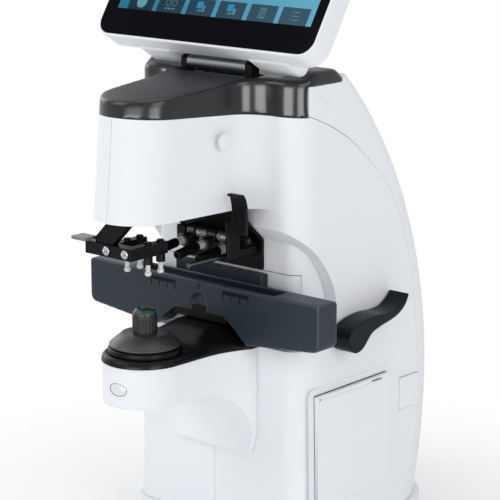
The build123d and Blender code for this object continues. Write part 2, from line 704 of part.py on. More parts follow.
def throat_neck():
    """The white neck in the throat, with the window that the table's shroud runs through."""
    inner = NECK_HALF - NECK_WALL
    hollow = neck_block(-NECK_WALL, NECK_BOTTOM - 1, NECK_TOP + 1)
    hollow += box(-inner, inner, -20, NECK_REAR_Y + 1, NECK_BOTTOM - 1, NECK_TOP + 1)
    tub = neck_block() - hollow
    half = SHROUD_HALF + 0.8
    tub -= box(-half, half, -60, -20, SHROUD_BOTTOM - WINDOW_GAP, SHROUD_TOP + WINDOW_GAP)
    return tub - rod_x(SHAFT_RADIUS + 0.6, 50, 70, LEVER_Y, LEVER_Z)


def table_shroud():
    """The white sliding cover that carries the table and hides its works."""
    inner = SHROUD_HALF - NECK_WALL
    block = neck_block(0, SHROUD_BOTTOM, SHROUD_TOP) & box(-SHROUD_HALF, SHROUD_HALF, -60, SHROUD_REAR_Y, 100, 300)
    roof = SHROUD_TOP - NECK_WALL
    hollow = neck_block(-NECK_WALL, SHROUD_BOTTOM - 5, roof) & box(-inner, inner, -60, 40, 100, 300)
    hollow += box(-inner, inner, -22, SHROUD_REAR_Y + 1, SHROUD_BOTTOM - 5, roof)
    arch = box(-TABLE_FLAT_HALF, TABLE_FLAT_HALF, -60, -20, SHROUD_BOTTOM - 5, TABLE_ARCH_Z)
    return block - hollow - arch


def table_carriage():
    """The dark plate between the shroud and the table."""
    plate = box(-CARRIAGE_HALF, CARRIAGE_HALF, TABLE_REAR_Y, NECK_FRONT_Y, CARRIAGE_BOTTOM, CARRIAGE_TOP)
    return chamfer(plate.edges().filter_by(Axis.Z), 0.8)


def slide_rods():
    """The two rods that the table slides on."""
    rods = []
    for x in (-ROD_X, ROD_X):
        rods.append(rod_y(ROD_RADIUS, NECK_FRONT_Y + NECK_WALL, ROD_REAR_Y, x, ROD_Z))
    return Compound(children=rods)


def rod_bushes():
    """The bronze bushes in the chassis brackets."""
    bushes = []
    for x in (-ROD_X, ROD_X):
        bush = rod_y(BUSH_RADIUS, BUSH_FRONT_Y, BUSH_FRONT_Y + BUSH_LENGTH, x, ROD_Z)
        bush += rod_y(BUSH_RADIUS + 1, BUSH_FRONT_Y, BUSH_FRONT_Y + 2, x, ROD_Z)
        bushes.append(bush - rod_y(ROD_RADIUS + RUN, -60, 20, x, ROD_Z))
    return Compound(children=bushes)


def table_rack():
    """The toothed rack behind the shroud."""
    pitch_z = LEVER_Z + GEAR_MODULE * GEAR_TEETH / 2
    x0, x1 = GEAR_X - GEAR_WIDTH / 2, GEAR_X + GEAR_WIDTH / 2
    root = pitch_z + TOOTH_FALL
    tip = pitch_z - TOOTH_RISE
    rack = box(x0, x1, NECK_FRONT_Y + NECK_WALL, RACK_REAR_Y, root, root + RACK_BACK)
    half = TOOTH_WIDTH / 2
    for i in range(-2, 6):
        y = LEVER_Y + pi * GEAR_MODULE * (i + 0.5)
        tooth = [(y - half - 0.6, root + 0.1), (y - half + 0.3, tip), (y + half - 0.3, tip), (y + half + 0.6, root + 0.1)]
        rack += side_extrude(tooth, x0, x1)
    return rack


def lever_gear():
    """The gear sector on the lever's shaft."""
    radius = GEAR_MODULE * GEAR_TEETH / 2
    root = radius - TOOTH_FALL
    x0, x1 = GEAR_X - GEAR_WIDTH / 2, GEAR_X + GEAR_WIDTH / 2
    keep = side_extrude([(0, -5), (40, -8), (40, 40), (-14, 40), (-6, 0)], x0 - 1, x1 + 1)
    gear = (rod_x(root, x0, x1, 0, 0) & keep) + rod_x(SHAFT_RADIUS + 3.5, x0, x1, 0, 0)
    half = TOOTH_WIDTH / 2
    for i in range(-1, 7):
        foot, tip = root - 0.4, radius + TOOTH_RISE
        tooth = [(foot, -half - 0.6), (foot, half + 0.6), (tip, half - 0.3), (tip, -half + 0.3)]
        gear += Rot(90 - 360 / GEAR_TEETH * i, 0, 0) * side_extrude(tooth, x0, x1)
    gear = Pos(0, LEVER_Y, LEVER_Z) * gear
    return gear - rod_x(SHAFT_RADIUS, x0 - 1, x1 + 1, LEVER_Y, LEVER_Z)


def lever_shaft():
    """The shaft from the gear out to the lever."""
    return rod_x(SHAFT_RADIUS, 22.5, LEVER_OUTER_X - 4, LEVER_Y, LEVER_Z)


def table_lever():
    """The curved paddle on the right side."""
    upper = Spline((-11.4, 155.0), (-6.0, 157.6), (0.8, 160.6), (19.5, 160.4), (28.0, 160.7), (35.3, 163.8), (42.6, 169.5))
    tip = Line((42.6, 169.5), (44.5, 168.2))
    lower = Spline((44.5, 168.2), (38.7, 159.8), (32.3, 155.8), (24.9, 154.6), (14.5, 152.2), (6.2, 148.6), (0.5, 143.0), (-5.5, 140.0))
    close = Line((-5.5, 140.0), (-11.4, 155.0))
    inner = LEVER_INNER_X + 1.3
    blade = Pos(inner, 0, 0) * extrude(Plane.YZ * make_face(Curve() + [upper, tip, lower, close]), LEVER_OUTER_X - inner)
    paddle = blade + rod_x(LEVER_HUB_RADIUS, LEVER_INNER_X, LEVER_OUTER_X, LEVER_Y, LEVER_Z)
    return paddle - rod_x(SHAFT_RADIUS, LEVER_INNER_X - 1, LEVER_OUTER_X - 4, LEVER_Y, LEVER_Z)


def lens_table():
    """The wide lens table: arched underneath, with a groove along its top."""
    right = [(0, TABLE_ARCH_Z), (TABLE_ARCH_HALF, TABLE_ARCH_Z), (30.3, 154.8), (TABLE_FLAT_HALF, TABLE_BOTTOM),
             (TABLE_HALF, TABLE_END_BOTTOM), (TABLE_HALF, TABLE_TOP), (0, TABLE_TOP)]
    half = Plane.XZ * make_face(Polyline(*right, close=True))
    side = Pos(0, TABLE_REAR_Y, 0) * extrude(half, TABLE_REAR_Y - TABLE_FRONT_Y)
    ends = side.edges().filter_by(Axis.Y).group_by(Axis.X)[-1].sort_by(Axis.Z)
    side = fillet(ends[0], 5.0)
    ends = side.edges().filter_by(Axis.Y).group_by(Axis.X)[-1].sort_by(Axis.Z)
    side = fillet(ends[-1], 2.0)
    table = side + mirror(side, Plane.YZ)
    groove_front = TABLE_FRONT_Y + TABLE_FRONT_WALL
    groove_rear = TABLE_REAR_Y - TABLE_REAR_WALL
    floor = TABLE_TOP - TABLE_GROOVE_DEPTH
    table -= box(-TABLE_GROOVE_HALF, TABLE_GROOVE_HALF, groove_front, groove_rear, floor, TABLE_TOP + 1)
    notch = box(-NOTCH_HALF, NOTCH_HALF, TABLE_FRONT_Y - 1, TABLE_FRONT_Y + NOTCH_DEPTH, TABLE_ARCH_Z - 2, NOTCH_TOP)
    notch = fillet(notch.edges().filter_by(Axis.Y).group_by(Axis.Z)[-1], NOTCH_HALF - 0.5)
    return table - notch


def holder_arm():
    """The arm that hangs from the guide and leans left, down to the crossbar."""
    rear = ARM_FRONT_Y + ARM_THICK
    arm = box(-SLIDE_HALF, SLIDE_HALF, ARM_FRONT_Y, rear, 230, ARM_TOP)
    foot = PRONG_TOP - 2
    bend = [(-SLIDE_HALF, 222 + 9), (SLIDE_HALF, 222 + 9), (SLIDE_HALF - ARM_LEAN, foot), (-SLIDE_HALF - ARM_LEAN, foot)]
    slant = Plane.XZ * make_face(Polyline(*bend, close=True))
    return arm + Pos(0, rear, 0) * extrude(slant, ARM_THICK)


def pin_places():
    """The four pins' places over the lens."""
    return [(x, AXIS_Y + dy) for x in (-PRONG_X, PRONG_X) for dy in (-PIN_HALF_PITCH_Y, PIN_HALF_PITCH_Y)]


def holder_fork():
    """The crossbar with two prongs over the lens, and the sleeves that guide the pins."""
    bar_rear = HOLDER_FRONT_Y + CROSSBAR_DEPTH
    fork = box(HOLDER_LEFT_X, HOLDER_RIGHT_X, HOLDER_FRONT_Y, bar_rear, PRONG_BOTTOM, PRONG_TOP)
    for x in (-PRONG_X, PRONG_X):
        half = PRONG_WIDTH / 2
        fork += box(x - half, x + half, bar_rear - 1, PRONG_REAR_Y, PRONG_BOTTOM, PRONG_TOP)
    fork -= holder_arm()
    for x, y in pin_places():
        fork += rod_z(SLEEVE_RADIUS, SLEEVE_BOTTOM, PRONG_BOTTOM + 1, x, y)
        fork -= rod_z(PIN_RADIUS + RUN, SLEEVE_BOTTOM - 1, PRONG_TOP + 1, x, y)
        fork -= rod_z(PIN_TIP_RADIUS + RUN, SLEEVE_BOTTOM - 1, PIN_TIP_TOP + PIN_TRAVEL + FIT, x, y)
    return fork


def holder_tab():
    """The grey thumb tab at the left end of the crossbar."""
    left = HOLDER_LEFT_X
    tab = box(left, left + 8, HOLDER_FRONT_Y + 1, ARM_FRONT_Y - FIT, PRONG_TOP, PRONG_TOP + 2)
    return tab + box(left - 7, left + 5, HOLDER_FRONT_Y - 5, HOLDER_FRONT_Y + 5, PRONG_TOP + 1, PRONG_TOP + 3)


def holder_pin(x, y):
    """One sprung pin with its white tip."""
    top = PRONG_TOP + 0.6
    pin = rod_z(PIN_RADIUS, PIN_TIP_TOP - 1, top, x, y) + rod_z(PIN_TIP_RADIUS, PIN_TIP_BOTTOM, PIN_TIP_TOP, x, y)
    return pin + rod_z(PIN_RADIUS + 0.8, top - 0.3, top + 0.8, x, y)


def mark_frame():
    """The black bent plate behind the marking unit, hung under the head."""
    t = MARK_FRAME_THICK
    y0 = NECK_FRONT_Y - FIT
    top = HEAD_BOTTOM - FIT
    outline = [(y0, MARK_FRAME_BOTTOM), (y0, 210.0), (-45.5, 218.6), (-54.5, 228.3), (-63.0, top), (-101.0, top),
               (-101.0, top - t), (-64.0, top - t), (-55.8, 226.7), (-46.9, 217.0), (y0 - t, 209.3), (y0 - t, MARK_FRAME_BOTTOM)]
    frame = side_extrude(outline, -MARK_FRAME_HALF, MARK_FRAME_HALF)
    flange = MARK_RAIL_X + 2.3
    frame -= box(flange, 60, -120, -56, 200, 240) + box(-60, -flange, -120, -56, 200, 240)
    frame -= box(-22, 22, -120, -78, 220, 240)
    return frame


def mark_rails():
    """Two thin rails that stand out from the frame."""
    rails = []
    rear = NECK_FRONT_Y - FIT - MARK_FRAME_THICK
    for x in (-MARK_RAIL_X, MARK_RAIL_X):
        rails.append(rod_y(MARK_RAIL_RADIUS, MARK_RAIL_FRONT_Y, rear, x, MARK_RAIL_Z))
    return Compound(children=rails)


def marking_carriage():
    """The block that slides on the rails and holds the pen shaft."""
    rear = NECK_FRONT_Y - FIT - MARK_FRAME_THICK - 1.0
    half = MARK_BLOCK_WIDTH / 2
    edge = MARK_RAIL_X - half
    carriage = box(-edge - 1, edge + 1, rear - 2.0, rear, MARK_RAIL_Z - 2, MARK_RAIL_Z + 1)
    for x in (-MARK_RAIL_X, MARK_RAIL_X):
        block = box(x - half, x + half, rear - 9.5, rear, MARK_RAIL_Z - 3.2, MARK_Z + 3.2)
        block -= box(x - 5, x + 5, MARK_Y + 1.5, 0, MARK_Z - 0.8, 220)
        block -= rod_y(MARK_RAIL_RADIUS + RUN, -60, 0, x, MARK_RAIL_Z)
        block -= rod_x(MARK_SHAFT_RADIUS + RUN, x - 5, x + 5, MARK_Y, MARK_Z)
        carriage += block
    return carriage


def marking_lever():
    """The black handle beside the head that draws the marking unit forward."""
    rear = NECK_FRONT_Y - FIT - MARK_FRAME_THICK - 1.0
    x0 = MARK_RAIL_X + MARK_BLOCK_WIDTH / 2
    front = MARK_LEVER_Y - 2
    arm = box(x0, x0 + 2.6, front, rear - 1, MARK_RAIL_Z - 2, MARK_RAIL_Z + 4)
    arm += box(x0, x0 + 2.6, front, MARK_LEVER_Y + 9.5, MARK_RAIL_Z - 2, 224)
    arm += box(x0, MARK_LEVER_X + 7, front, MARK_LEVER_Y, 219, 227)
    arm += box(MARK_LEVER_X - 5.4, MARK_LEVER_X + 7, front, MARK_LEVER_Y, 219, MARK_LEVER_TOP)
    return arm + box(MARK_LEVER_X - 5.4, MARK_LEVER_X + 7, MARK_LEVER_Y - 7, MARK_LEVER_Y, MARK_LEVER_TOP - 2, MARK_LEVER_TOP)


def pen_place():
    """Where the middle pen's rear end sits, and its lean."""
    rear_end = PEN_TIP_Y + PEN_LENGTH * cos(radians(PEN_TILT))
    rise = PEN_TIP_Z + PEN_LENGTH * sin(radians(PEN_TILT))
    return Pos(0, rear_end, rise) * Rot(PEN_TILT, 0, 0)


def pen_barrels():
    """Three white pen barrels."""
    pens = []
    for x in (-PEN_PITCH_X, 0, PEN_PITCH_X):
        pens.append(Pos(x, 0, 0) * pen_place() * rod_y(PEN_RADIUS, -17, 0, 0, 0))
    return Compound(children=pens)


def pen_caps():
    """Three black marking tips."""
    tips = []
    for x in (-PEN_PITCH_X, 0, PEN_PITCH_X):
        tip = rod_y(PEN_RADIUS - 0.5, -28, -17, 0, 0) + rod_y(1.2, -PEN_LENGTH, -28, 0, 0)
        tips.append(Pos(x, 0, 0) * pen_place() * tip)
    return Compound(children=tips)


def pen_holders():
    """The cross shaft with three clips that hold the pens."""
    holders = rod_x(MARK_SHAFT_RADIUS, -MARK_RAIL_X - 4, MARK_RAIL_X + 4, MARK_Y, MARK_Z)
    for x in (-PEN_PITCH_X, 0, PEN_PITCH_X):
        place = Pos(x, 0, 0) * pen_place()
        holders += rod_x(MARK_HUB_RADIUS, x - 3.0, x + 3.0, MARK_Y, MARK_Z)
        holders += place * rod_y(CLIP_RADIUS, -13, -5, 0, 0)
        holders += box(x - 2.2, x + 2.2, MARK_Y - 11, MARK_Y, MARK_Z - 3.5, MARK_Z + 3)
        holders -= place * rod_y(PEN_RADIUS, -40, 0.3, 0, 0)
    return holders


def display_pose(part):
    """Put a piece built upright about the hinge into the leaning display."""
    return Pos(0, HINGE_Y, HINGE_Z) * Rot(-DISPLAY_LEAN, 0, 0) * part


def screen_block(width, height, corner, low, y0, y1, taper=0.0):
    """A rounded slab in the display's own frame, y0 in front."""
    plane = Plane((0, y0, low + height / 2), x_dir=(1, 0, 0), z_dir=(0, 1, 0))
    return extrude(plane * RectangleRounded(width, height, corner), y1 - y0, taper=taper)


def display_housing():
    """The white display shell with its rear bulge and hinge lugs."""
    front = -GLASS_FORWARD
    rim = DISPLAY_RIM
    wall = DISPLAY_WALL
    width, height = GLASS_WIDTH + 2 * rim, GLASS_HEIGHT + 2 * rim
    low = GLASS_RAISE - rim
    corner = GLASS_CORNER + rim
    middle = front + DISPLAY_SIDE
    rear = front + DISPLAY_DEPTH
    shell = screen_block(width, height, corner, low, front, middle)
    shell += screen_block(width, height, corner, low, middle, rear, taper=50)
    bulge = box(-BULGE_HALF, BULGE_HALF, middle, 5.5, HINGE_RADIUS + 0.2, 62)
    shell += fillet(bulge.edges().group_by(Axis.Y)[-1], 6.0)
    shell -= screen_block(width - 2 * wall, height - 2 * wall, corner - wall, low + wall, front + 6, middle)
    inset = wall + 2
    shell -= screen_block(width - 2 * inset, height - 2 * inset, corner - 3, low + inset, middle - 1, rear - wall, taper=40)
    gap = 0.2
    shell -= screen_block(GLASS_WIDTH + 2 * gap, GLASS_HEIGHT + 2 * gap, GLASS_CORNER + gap, GLASS_RAISE - gap,
                          front - 1, front + GLASS_THICK + gap)
    shell -= screen_block(PANEL_WIDTH + 6, PANEL_HEIGHT + 6, 2, PANEL_RAISE + GLASS_RAISE - 3, front, front + 7)
    lugs = box(-HINGE_HALF + 2, HINGE_HALF - 2, -2.5, 3.5, 2.0, 8) - rod_x(HINGE_RADIUS + 0.01, -40, 40, 0, 0)
    return display_pose(shell + lugs)


def display_glass():
    """The front glass."""
    front = -GLASS_FORWARD
    return display_pose(screen_block(GLASS_WIDTH, GLASS_HEIGHT, GLASS_CORNER, GLASS_RAISE, front, front + GLASS_THICK))


def lcd_panel():
    """The screen panel behind the glass."""
    face = -GLASS_FORWARD + GLASS_THICK
    return display_pose(screen_block(PANEL_WIDTH, PANEL_HEIGHT, 1.5, PANEL_RAISE + GLASS_RAISE, face, face + PANEL_THICK))


def hinge_barrel():
    """The satin barrel of the friction hinge."""
    barrel = rod_x(HINGE_RADIUS, -HINGE_HALF, HINGE_HALF, HINGE_Y, HINGE_Z)
    return barrel - rod_x(HINGE_PIN_RADIUS + RUN, -HINGE_HALF - 1, HINGE_HALF + 1, HINGE_Y, HINGE_Z)


def hinge_bracket():
    """The fixed bracket with two knuckles that stands on the chassis."""
    half = HINGE_HALF + 5.2
    bracket = box(-20, 20, HINGE_Y - 6, HINGE_Y + 6, 305, 308)
    bracket += box(-half, half, HINGE_Y - 4, HINGE_Y + 4, 307, 311)
    for side in (-1, 1):
        x0, x1 = sorted((side * (HINGE_HALF + 0.4), side * half))
        knuckle = box(x0, x1, HINGE_Y - 4, HINGE_Y + 4, 308, HINGE_Z) + rod_x(4.0, x0, x1, HINGE_Y, HINGE_Z)
        bracket += knuckle - rod_x(HINGE_PIN_RADIUS, x0 - 1, x1 + 1, HINGE_Y, HINGE_Z)
    return bracket


def hinge_pin():
    """The steel pin through the barrel and the knuckles."""
    half = HINGE_HALF + 5.2
    return rod_x(HINGE_PIN_RADIUS, -half, half, HINGE_Y, HINGE_Z)


def printer_frame():
    """The proud white surround of the printer bay."""
    side = BODY_HALF_WIDTH
    pad = box(side, side + BAY_OUT, BAY_FRONT_Y, BAY_REAR_Y, BAY_BOTTOM, BAY_TOP)
    pad = fillet(pad.edges().filter_by(Axis.X), 5.0)
    pad = fillet(pad.edges().group_by(Axis.X)[-1], 1.5)
    w = SLEEVE_WALL
    sleeve = box(side - 5, side + 0.5, DOOR_FRONT_Y - w, DOOR_REAR_Y + w, DOOR_BOTTOM - w, DOOR_TOP + w)
    hole = box(60, 90, DOOR_FRONT_Y - FIT, DOOR_REAR_Y + FIT, DOOR_BOTTOM - FIT, DOOR_TOP + FIT)
    frame = pad + sleeve - hole
    return leaning(frame + door_pin())


def printer_bucket():
    """The bucket that holds the paper roll on its spindle."""
    x1 = BODY_HALF_WIDTH - 0.2
    y0, y1 = DOOR_FRONT_Y, DOOR_REAR_Y
    z0, z1 = DOOR_BOTTOM, DOOR_TOP
    w = BUCKET_WALL
    bucket = box(BUCKET_X, x1, y0, y1, z0, z1) - box(BUCKET_X + w, x1 + 1, y0 + w, y1 - w, z0 + w, z1 - w)
    for y in (y0 + w / 2, y1 - w / 2):
        bucket -= rod_y(1.5 + RUN, y - 3, y + 3, PLATEN_X, PLATEN_Z)
    spindle = rod_y(ROLL_BORE - 0.08, y0 + w - 0.5, ROLL_Y + ROLL_WIDTH / 2 + 4, ROLL_X, ROLL_Z)
    return leaning(bucket + spindle)


def print_head():
    """The thermal print head in the bucket."""
    roof = DOOR_TOP - BUCKET_WALL
    head = box(52, PLATEN_X - PLATEN_RADIUS - 0.4, DOOR_FRONT_Y + 5, DOOR_REAR_Y - 5, PLATEN_Z - 5, roof)
    return leaning(head)


def door_axis():
    """The printer door's hinge line, as x and z on the upright side."""
    middle = BODY_HALF_WIDTH + BAY_OUT - DOOR_THICK / 2 + 0.5
    return middle, DOOR_BOTTOM + DOOR_THICK / 2 + 0.4


def door_pin():
    """The pin that the door turns on."""
    x, z = door_axis()
    return rod_y(0.8, DOOR_FRONT_Y - 1.3, DOOR_REAR_Y + 1.3, x, z)


def printer_door():
    """The printer's door, hinged along its bottom edge, with the paper slot."""
    x, z = door_axis()
    radius = DOOR_THICK / 2
    y0, y1 = DOOR_FRONT_Y + 0.2, DOOR_REAR_Y - 0.2
    door = box(x - radius, x + radius, y0, y1, z, DOOR_TOP - 0.2) + rod_y(radius, y0, y1, x, z)
    top = DOOR_TOP - SLOT_DROP
    door -= box(x - 3, x + 3, -SLOT_HALF, SLOT_HALF, top - SLOT_HEIGHT, top)
    return leaning(door - rod_y(0.8 + RUN, y0 - 1, y1 + 1, x, z))


def platen_roller():
    """The rubber roller that feeds the paper."""
    inset = BUCKET_WALL + 2
    roller = rod_y(PLATEN_RADIUS, DOOR_FRONT_Y + inset, DOOR_REAR_Y - inset, PLATEN_X, PLATEN_Z)
    return leaning(roller + rod_y(1.5, DOOR_FRONT_Y, DOOR_REAR_Y, PLATEN_X, PLATEN_Z))


def paper_roll():
    """The roll of paper on its spindle."""
    half = ROLL_WIDTH / 2
    roll = rod_y(ROLL_RADIUS, ROLL_Y - half, ROLL_Y + half, ROLL_X, ROLL_Z)
    return leaning(roll - rod_y(ROLL_BORE, -60, 60, ROLL_X, ROLL_Z))


def connector_flap():
    """The small hinged flap over the sockets."""
    x1 = half_width(FLAP_BOTTOM) + FLAP_PROUD
    x0 = x1 - FLAP_THICK
    y0 = FLAP_Y + FLAP_THICK / 2
    flap = box(x0, x1, y0, FLAP_Y + FLAP_WIDTH, FLAP_BOTTOM, FLAP_TOP)
    return flap + rod_z(FLAP_THICK / 2, FLAP_BOTTOM, FLAP_TOP, (x0 + x1) / 2, y0)


def connector_block():
    """The sockets behind the flap, on a plate against the housing."""
    seat = half_width(FLAP_TOP) - WALL - 0.2
    plate = box(seat - 1.5, seat, FLAP_Y - 3, FLAP_Y + FLAP_WIDTH + 2, FLAP_BOTTOM - 3, FLAP_TOP + 3)
    block = box(56, seat, FLAP_Y + 2.5, FLAP_Y + FLAP_WIDTH - 2, FLAP_BOTTOM + 2, FLAP_TOP - 2)
    block = plate + block
    for z in (FLAP_BOTTOM + 6.5, FLAP_BOTTOM + 15):
        block -= box(seat - 6, seat + 1, FLAP_Y + 5, FLAP_Y + FLAP_WIDTH - 5, z - 2, z + 2)
    return block


def power_inlet():
    """The mains inlet and the switch body in the rear wall."""
    face = rear_y(INLET_Z) + INLET_PROUD
    block = inlet_box() & box(-80, 80, 78, face, 0, 100)
    half = INLET_WIDTH / 2 - 3
    tall = INLET_HEIGHT / 2 - 3
    block -= box(INLET_X - half, INLET_X + half, face - 14, face + 1, INLET_Z - tall, INLET_Z + tall)
    for dx, dz in ((-7, 2), (7, 2), (0, -3)):
        x, z = INLET_X + dx, INLET_Z + dz
        block += box(x - 1, x + 1, face - 14.5, face - 5, z - 2, z + 2)
    body = switch_box() & box(-80, 80, 84, face, 0, 100)
    half = SWITCH_WIDTH / 2 - 1.5
    tall = INLET_HEIGHT / 2 - 1.5
    body -= box(SWITCH_X - half, SWITCH_X + half, face - 9, face + 1, INLET_Z - tall, INLET_Z + tall)
    link = box(INLET_X, SWITCH_X, 84, 90, INLET_Z - 8, INLET_Z + 8)
    return block + (body + link - inlet_box())


def switch_rocker():
    """The rocker of the power switch."""
    face = rear_y(INLET_Z) + INLET_PROUD
    half = SWITCH_WIDTH / 2 - 1.9
    rocker = rod_x(8.6, SWITCH_X - half, SWITCH_X + half, face - 4, INLET_Z)
    return rocker & box(-80, 80, face - 7, face + 2.2, 0, 100)


def left_port_cover():
    """The flat cover low on the left side."""
    wide = half_width(28)
    return box(-wide - 1.4, -wide + 0.5, -33, 10, 20.5, 36) - body_form()


def main_board():
    """The main circuit board with its chips."""
    board = box(-62, -60, -28, 44, 42, 132)
    for y, z, size in ((0, 100, 14), (24, 80, 9), (-14, 66, 8), (22, 112, 7)):
        board += box(-60.5, -57, y - size, y + size, z - size, z + size)
    for y in (-24, 40):
        board += box(-62, -56, y - 4, y + 4, BASE_TOP + CHASSIS_SHEET, 46)
    return board


def power_unit():
    """The power supply on the chassis foot."""
    return box(-40, 14, 24, 70, BASE_TOP + CHASSIS_SHEET, 66)


def build():
    """Every sub-part by its name."""
    left, right, rear = shells()
    parts = {"left_shell": left, "right_shell": right, "rear_shell": rear}
    makers = (
        top_cover, base_plate, base_feet, chassis, head_underplate, light_source,
        stand_housing, stand_cover, nosepiece_base, nosepiece_stem, nosepiece_tip,
        sensor_window, sensor_module, read_button,
        throat_neck, table_shroud, table_carriage, slide_rods, rod_bushes, table_rack,
        lever_gear, lever_shaft, table_lever, lens_table,
        holder_arm, holder_fork, holder_tab,
        mark_frame, mark_rails, marking_carriage, marking_lever, pen_barrels, pen_caps, pen_holders,
        display_housing, display_glass, lcd_panel, hinge_barrel, hinge_bracket, hinge_pin,
        printer_frame, printer_bucket, print_head, printer_door, platen_roller, paper_roll,
        connector_flap, connector_block, power_inlet, switch_rocker,
        left_port_cover, main_board, power_unit)
    for maker in makers:
        parts[maker.__name__] = maker()
    for number, (x, y) in enumerate(pin_places(), 1):
        parts[f"holder_pin_{number}"] = holder_pin(x, y)
    return parts


if __name__ == "__main__":
    os.makedirs("parts", exist_ok=True)
    for name, part in build().items():
        export_step(part, f"parts/{name}.step")
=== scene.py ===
"""Looks for a desktop auto lensmeter: housing, cap, screen, lens table, lens holder and marking pens."""
import json
import math

import bmesh
import bpy
import numpy as np
from bpy.props import FloatProperty, FloatVectorProperty, IntProperty, PointerProperty
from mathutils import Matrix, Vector

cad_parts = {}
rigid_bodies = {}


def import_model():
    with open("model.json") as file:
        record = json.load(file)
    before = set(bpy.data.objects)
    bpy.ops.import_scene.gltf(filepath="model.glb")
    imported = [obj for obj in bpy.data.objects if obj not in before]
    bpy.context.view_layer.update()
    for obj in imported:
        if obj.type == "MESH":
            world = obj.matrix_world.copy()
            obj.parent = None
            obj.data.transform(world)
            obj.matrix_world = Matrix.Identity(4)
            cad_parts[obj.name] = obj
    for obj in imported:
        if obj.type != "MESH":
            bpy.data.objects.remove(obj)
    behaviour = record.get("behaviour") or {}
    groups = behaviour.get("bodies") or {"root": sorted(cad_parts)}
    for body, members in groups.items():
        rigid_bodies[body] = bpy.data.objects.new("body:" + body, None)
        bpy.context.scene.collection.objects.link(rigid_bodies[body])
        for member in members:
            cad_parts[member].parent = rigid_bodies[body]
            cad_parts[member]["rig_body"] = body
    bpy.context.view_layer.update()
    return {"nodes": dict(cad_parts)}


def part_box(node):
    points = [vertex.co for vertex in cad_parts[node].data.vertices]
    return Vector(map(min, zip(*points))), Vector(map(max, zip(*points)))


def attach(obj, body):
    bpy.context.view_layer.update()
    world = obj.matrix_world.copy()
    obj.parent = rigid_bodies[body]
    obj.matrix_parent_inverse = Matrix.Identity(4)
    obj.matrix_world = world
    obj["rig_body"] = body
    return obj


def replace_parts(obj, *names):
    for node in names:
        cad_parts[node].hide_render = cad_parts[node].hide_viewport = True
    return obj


bl_info = {
    "name": "Auto lensmeter",
    "version": (1, 0, 0),
    "blender": (4, 5, 0),
    "location": "View3D > Sidebar > Lensmeter",
    "description": "Builds the looks of a desktop auto lensmeter around its solid parts",
    "category": "Object",
}

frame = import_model()
MM = 0.001

# Places and sizes in millimetres, and leans in radians. The sides lean in by the draft from the ground up.
SIDE_HALF = 75.5
SIDE_DRAFT = math.radians(1.2)
AXIS_Y = -109.5
STAND_NOSE_Y = -110.0
STAND_RADIUS = 26.9
STAND_REAR_Y = -37.5
STAND_FACE_RADIUS = 26.3
STAND_TOP = 142.5
TABLE_FRONT_Y = -60.4
HOLDER_FRONT_Y = -133.0
PEN_TILT = math.radians(7.0)
PEN_LENGTH = 31.0
PEN_PITCH = 18.0
PEN_TIP_Y = -80.5
PEN_TIP_Z = 202.5
SWING_Y = -45.0
SWING_Z = 209.5
HINGE_Y = -39.7
HINGE_Z = 318.2
DISPLAY_LEAN = math.radians(32.0)
BULGE_HALF = 66.0
GLASS_FRONT = 25.35
GLASS_LOW = 1.9
GLASS_HIGH = 122.0
GLASS_HALF = 88.8
PICTURE_LEFT = -78.1
PICTURE_RIGHT = 82.0
PICTURE_LOW = 20.0
PICTURE_HIGH = 108.5
SIGN_SCALE = 0.78


# Sizes and colours that a user would change

def colour_property(name, description, default):
    return FloatVectorProperty(name=name, description=description, subtype="COLOR", size=3, min=0, max=1,
                               default=default)


class HousingLooks(bpy.types.PropertyGroup):
    """The white housing's finish."""
    colour: colour_property("Housing colour", "Colour of the white moulded housing", (0.82, 0.835, 0.86))
    grain: FloatProperty(name="Grain height", description="Height of the moulded grain",
                         default=0.00002, min=0, unit="LENGTH", precision=6)
    edge: FloatProperty(name="Edge softness", description="Radius of the moulded edges",
                        default=0.0006, min=0, unit="LENGTH", precision=5)


class BlackLooks(bpy.types.PropertyGroup):
    """The black and charcoal pieces' finish."""
    cap: colour_property("Cap colour", "Colour of the black cap", (0.004, 0.0045, 0.007))
    works: colour_property("Works colour", "Colour of the holder and marking unit", (0.0035, 0.0035, 0.0045))
    table: colour_property("Table colour", "Colour of the lens table", (0.018, 0.027, 0.039))
    # The edge colour is a painted highlight laid on the table's edges where they stand out.
    edge: colour_property("Edge colour", "Colour of the table's rubbed edges", (0.12, 0.125, 0.13))


class ScreenLooks(bpy.types.PropertyGroup):
    """The picture on the screen."""
    field: colour_property("Field colour", "Colour of the screen's background", (0.010, 0.150, 0.250))
    tile: colour_property("Tile colour", "Colour of the buttons along the bottom", (0.003, 0.022, 0.037))
    tiles: IntProperty(name="Tiles", description="Number of buttons along the bottom", default=6, min=3, max=8)


class NoseLooks(bpy.types.PropertyGroup):
    """The nosepiece under the lens."""
    ribs: IntProperty(name="Stem ribs", description="Number of grooves round the stem",
                      default=20, min=8, max=40)
    cone: colour_property("Cone colour", "Colour of the cone that the lens rests on", (0.012, 0.040, 0.028))


# Shapes

def new_object(name, data):
    """An object for some data, put into the scene."""
    made = bpy.data.objects.new(name, data)
    bpy.context.scene.collection.objects.link(made)
    return made


def add_piece(name, verts, faces, finish, body, soft=0.0, angle=35.0):
    """A mesh object from arrays in millimetres, riding on a body."""
    mesh = bpy.data.meshes.new(name)
    mesh.from_pydata(np.asarray(verts, float) * MM, [], [tuple(int(i) for i in f) for f in faces])
    mesh.validate()
    piece = new_object(name, mesh)
    settle(piece, finish, soft, angle)
    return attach(piece, body)


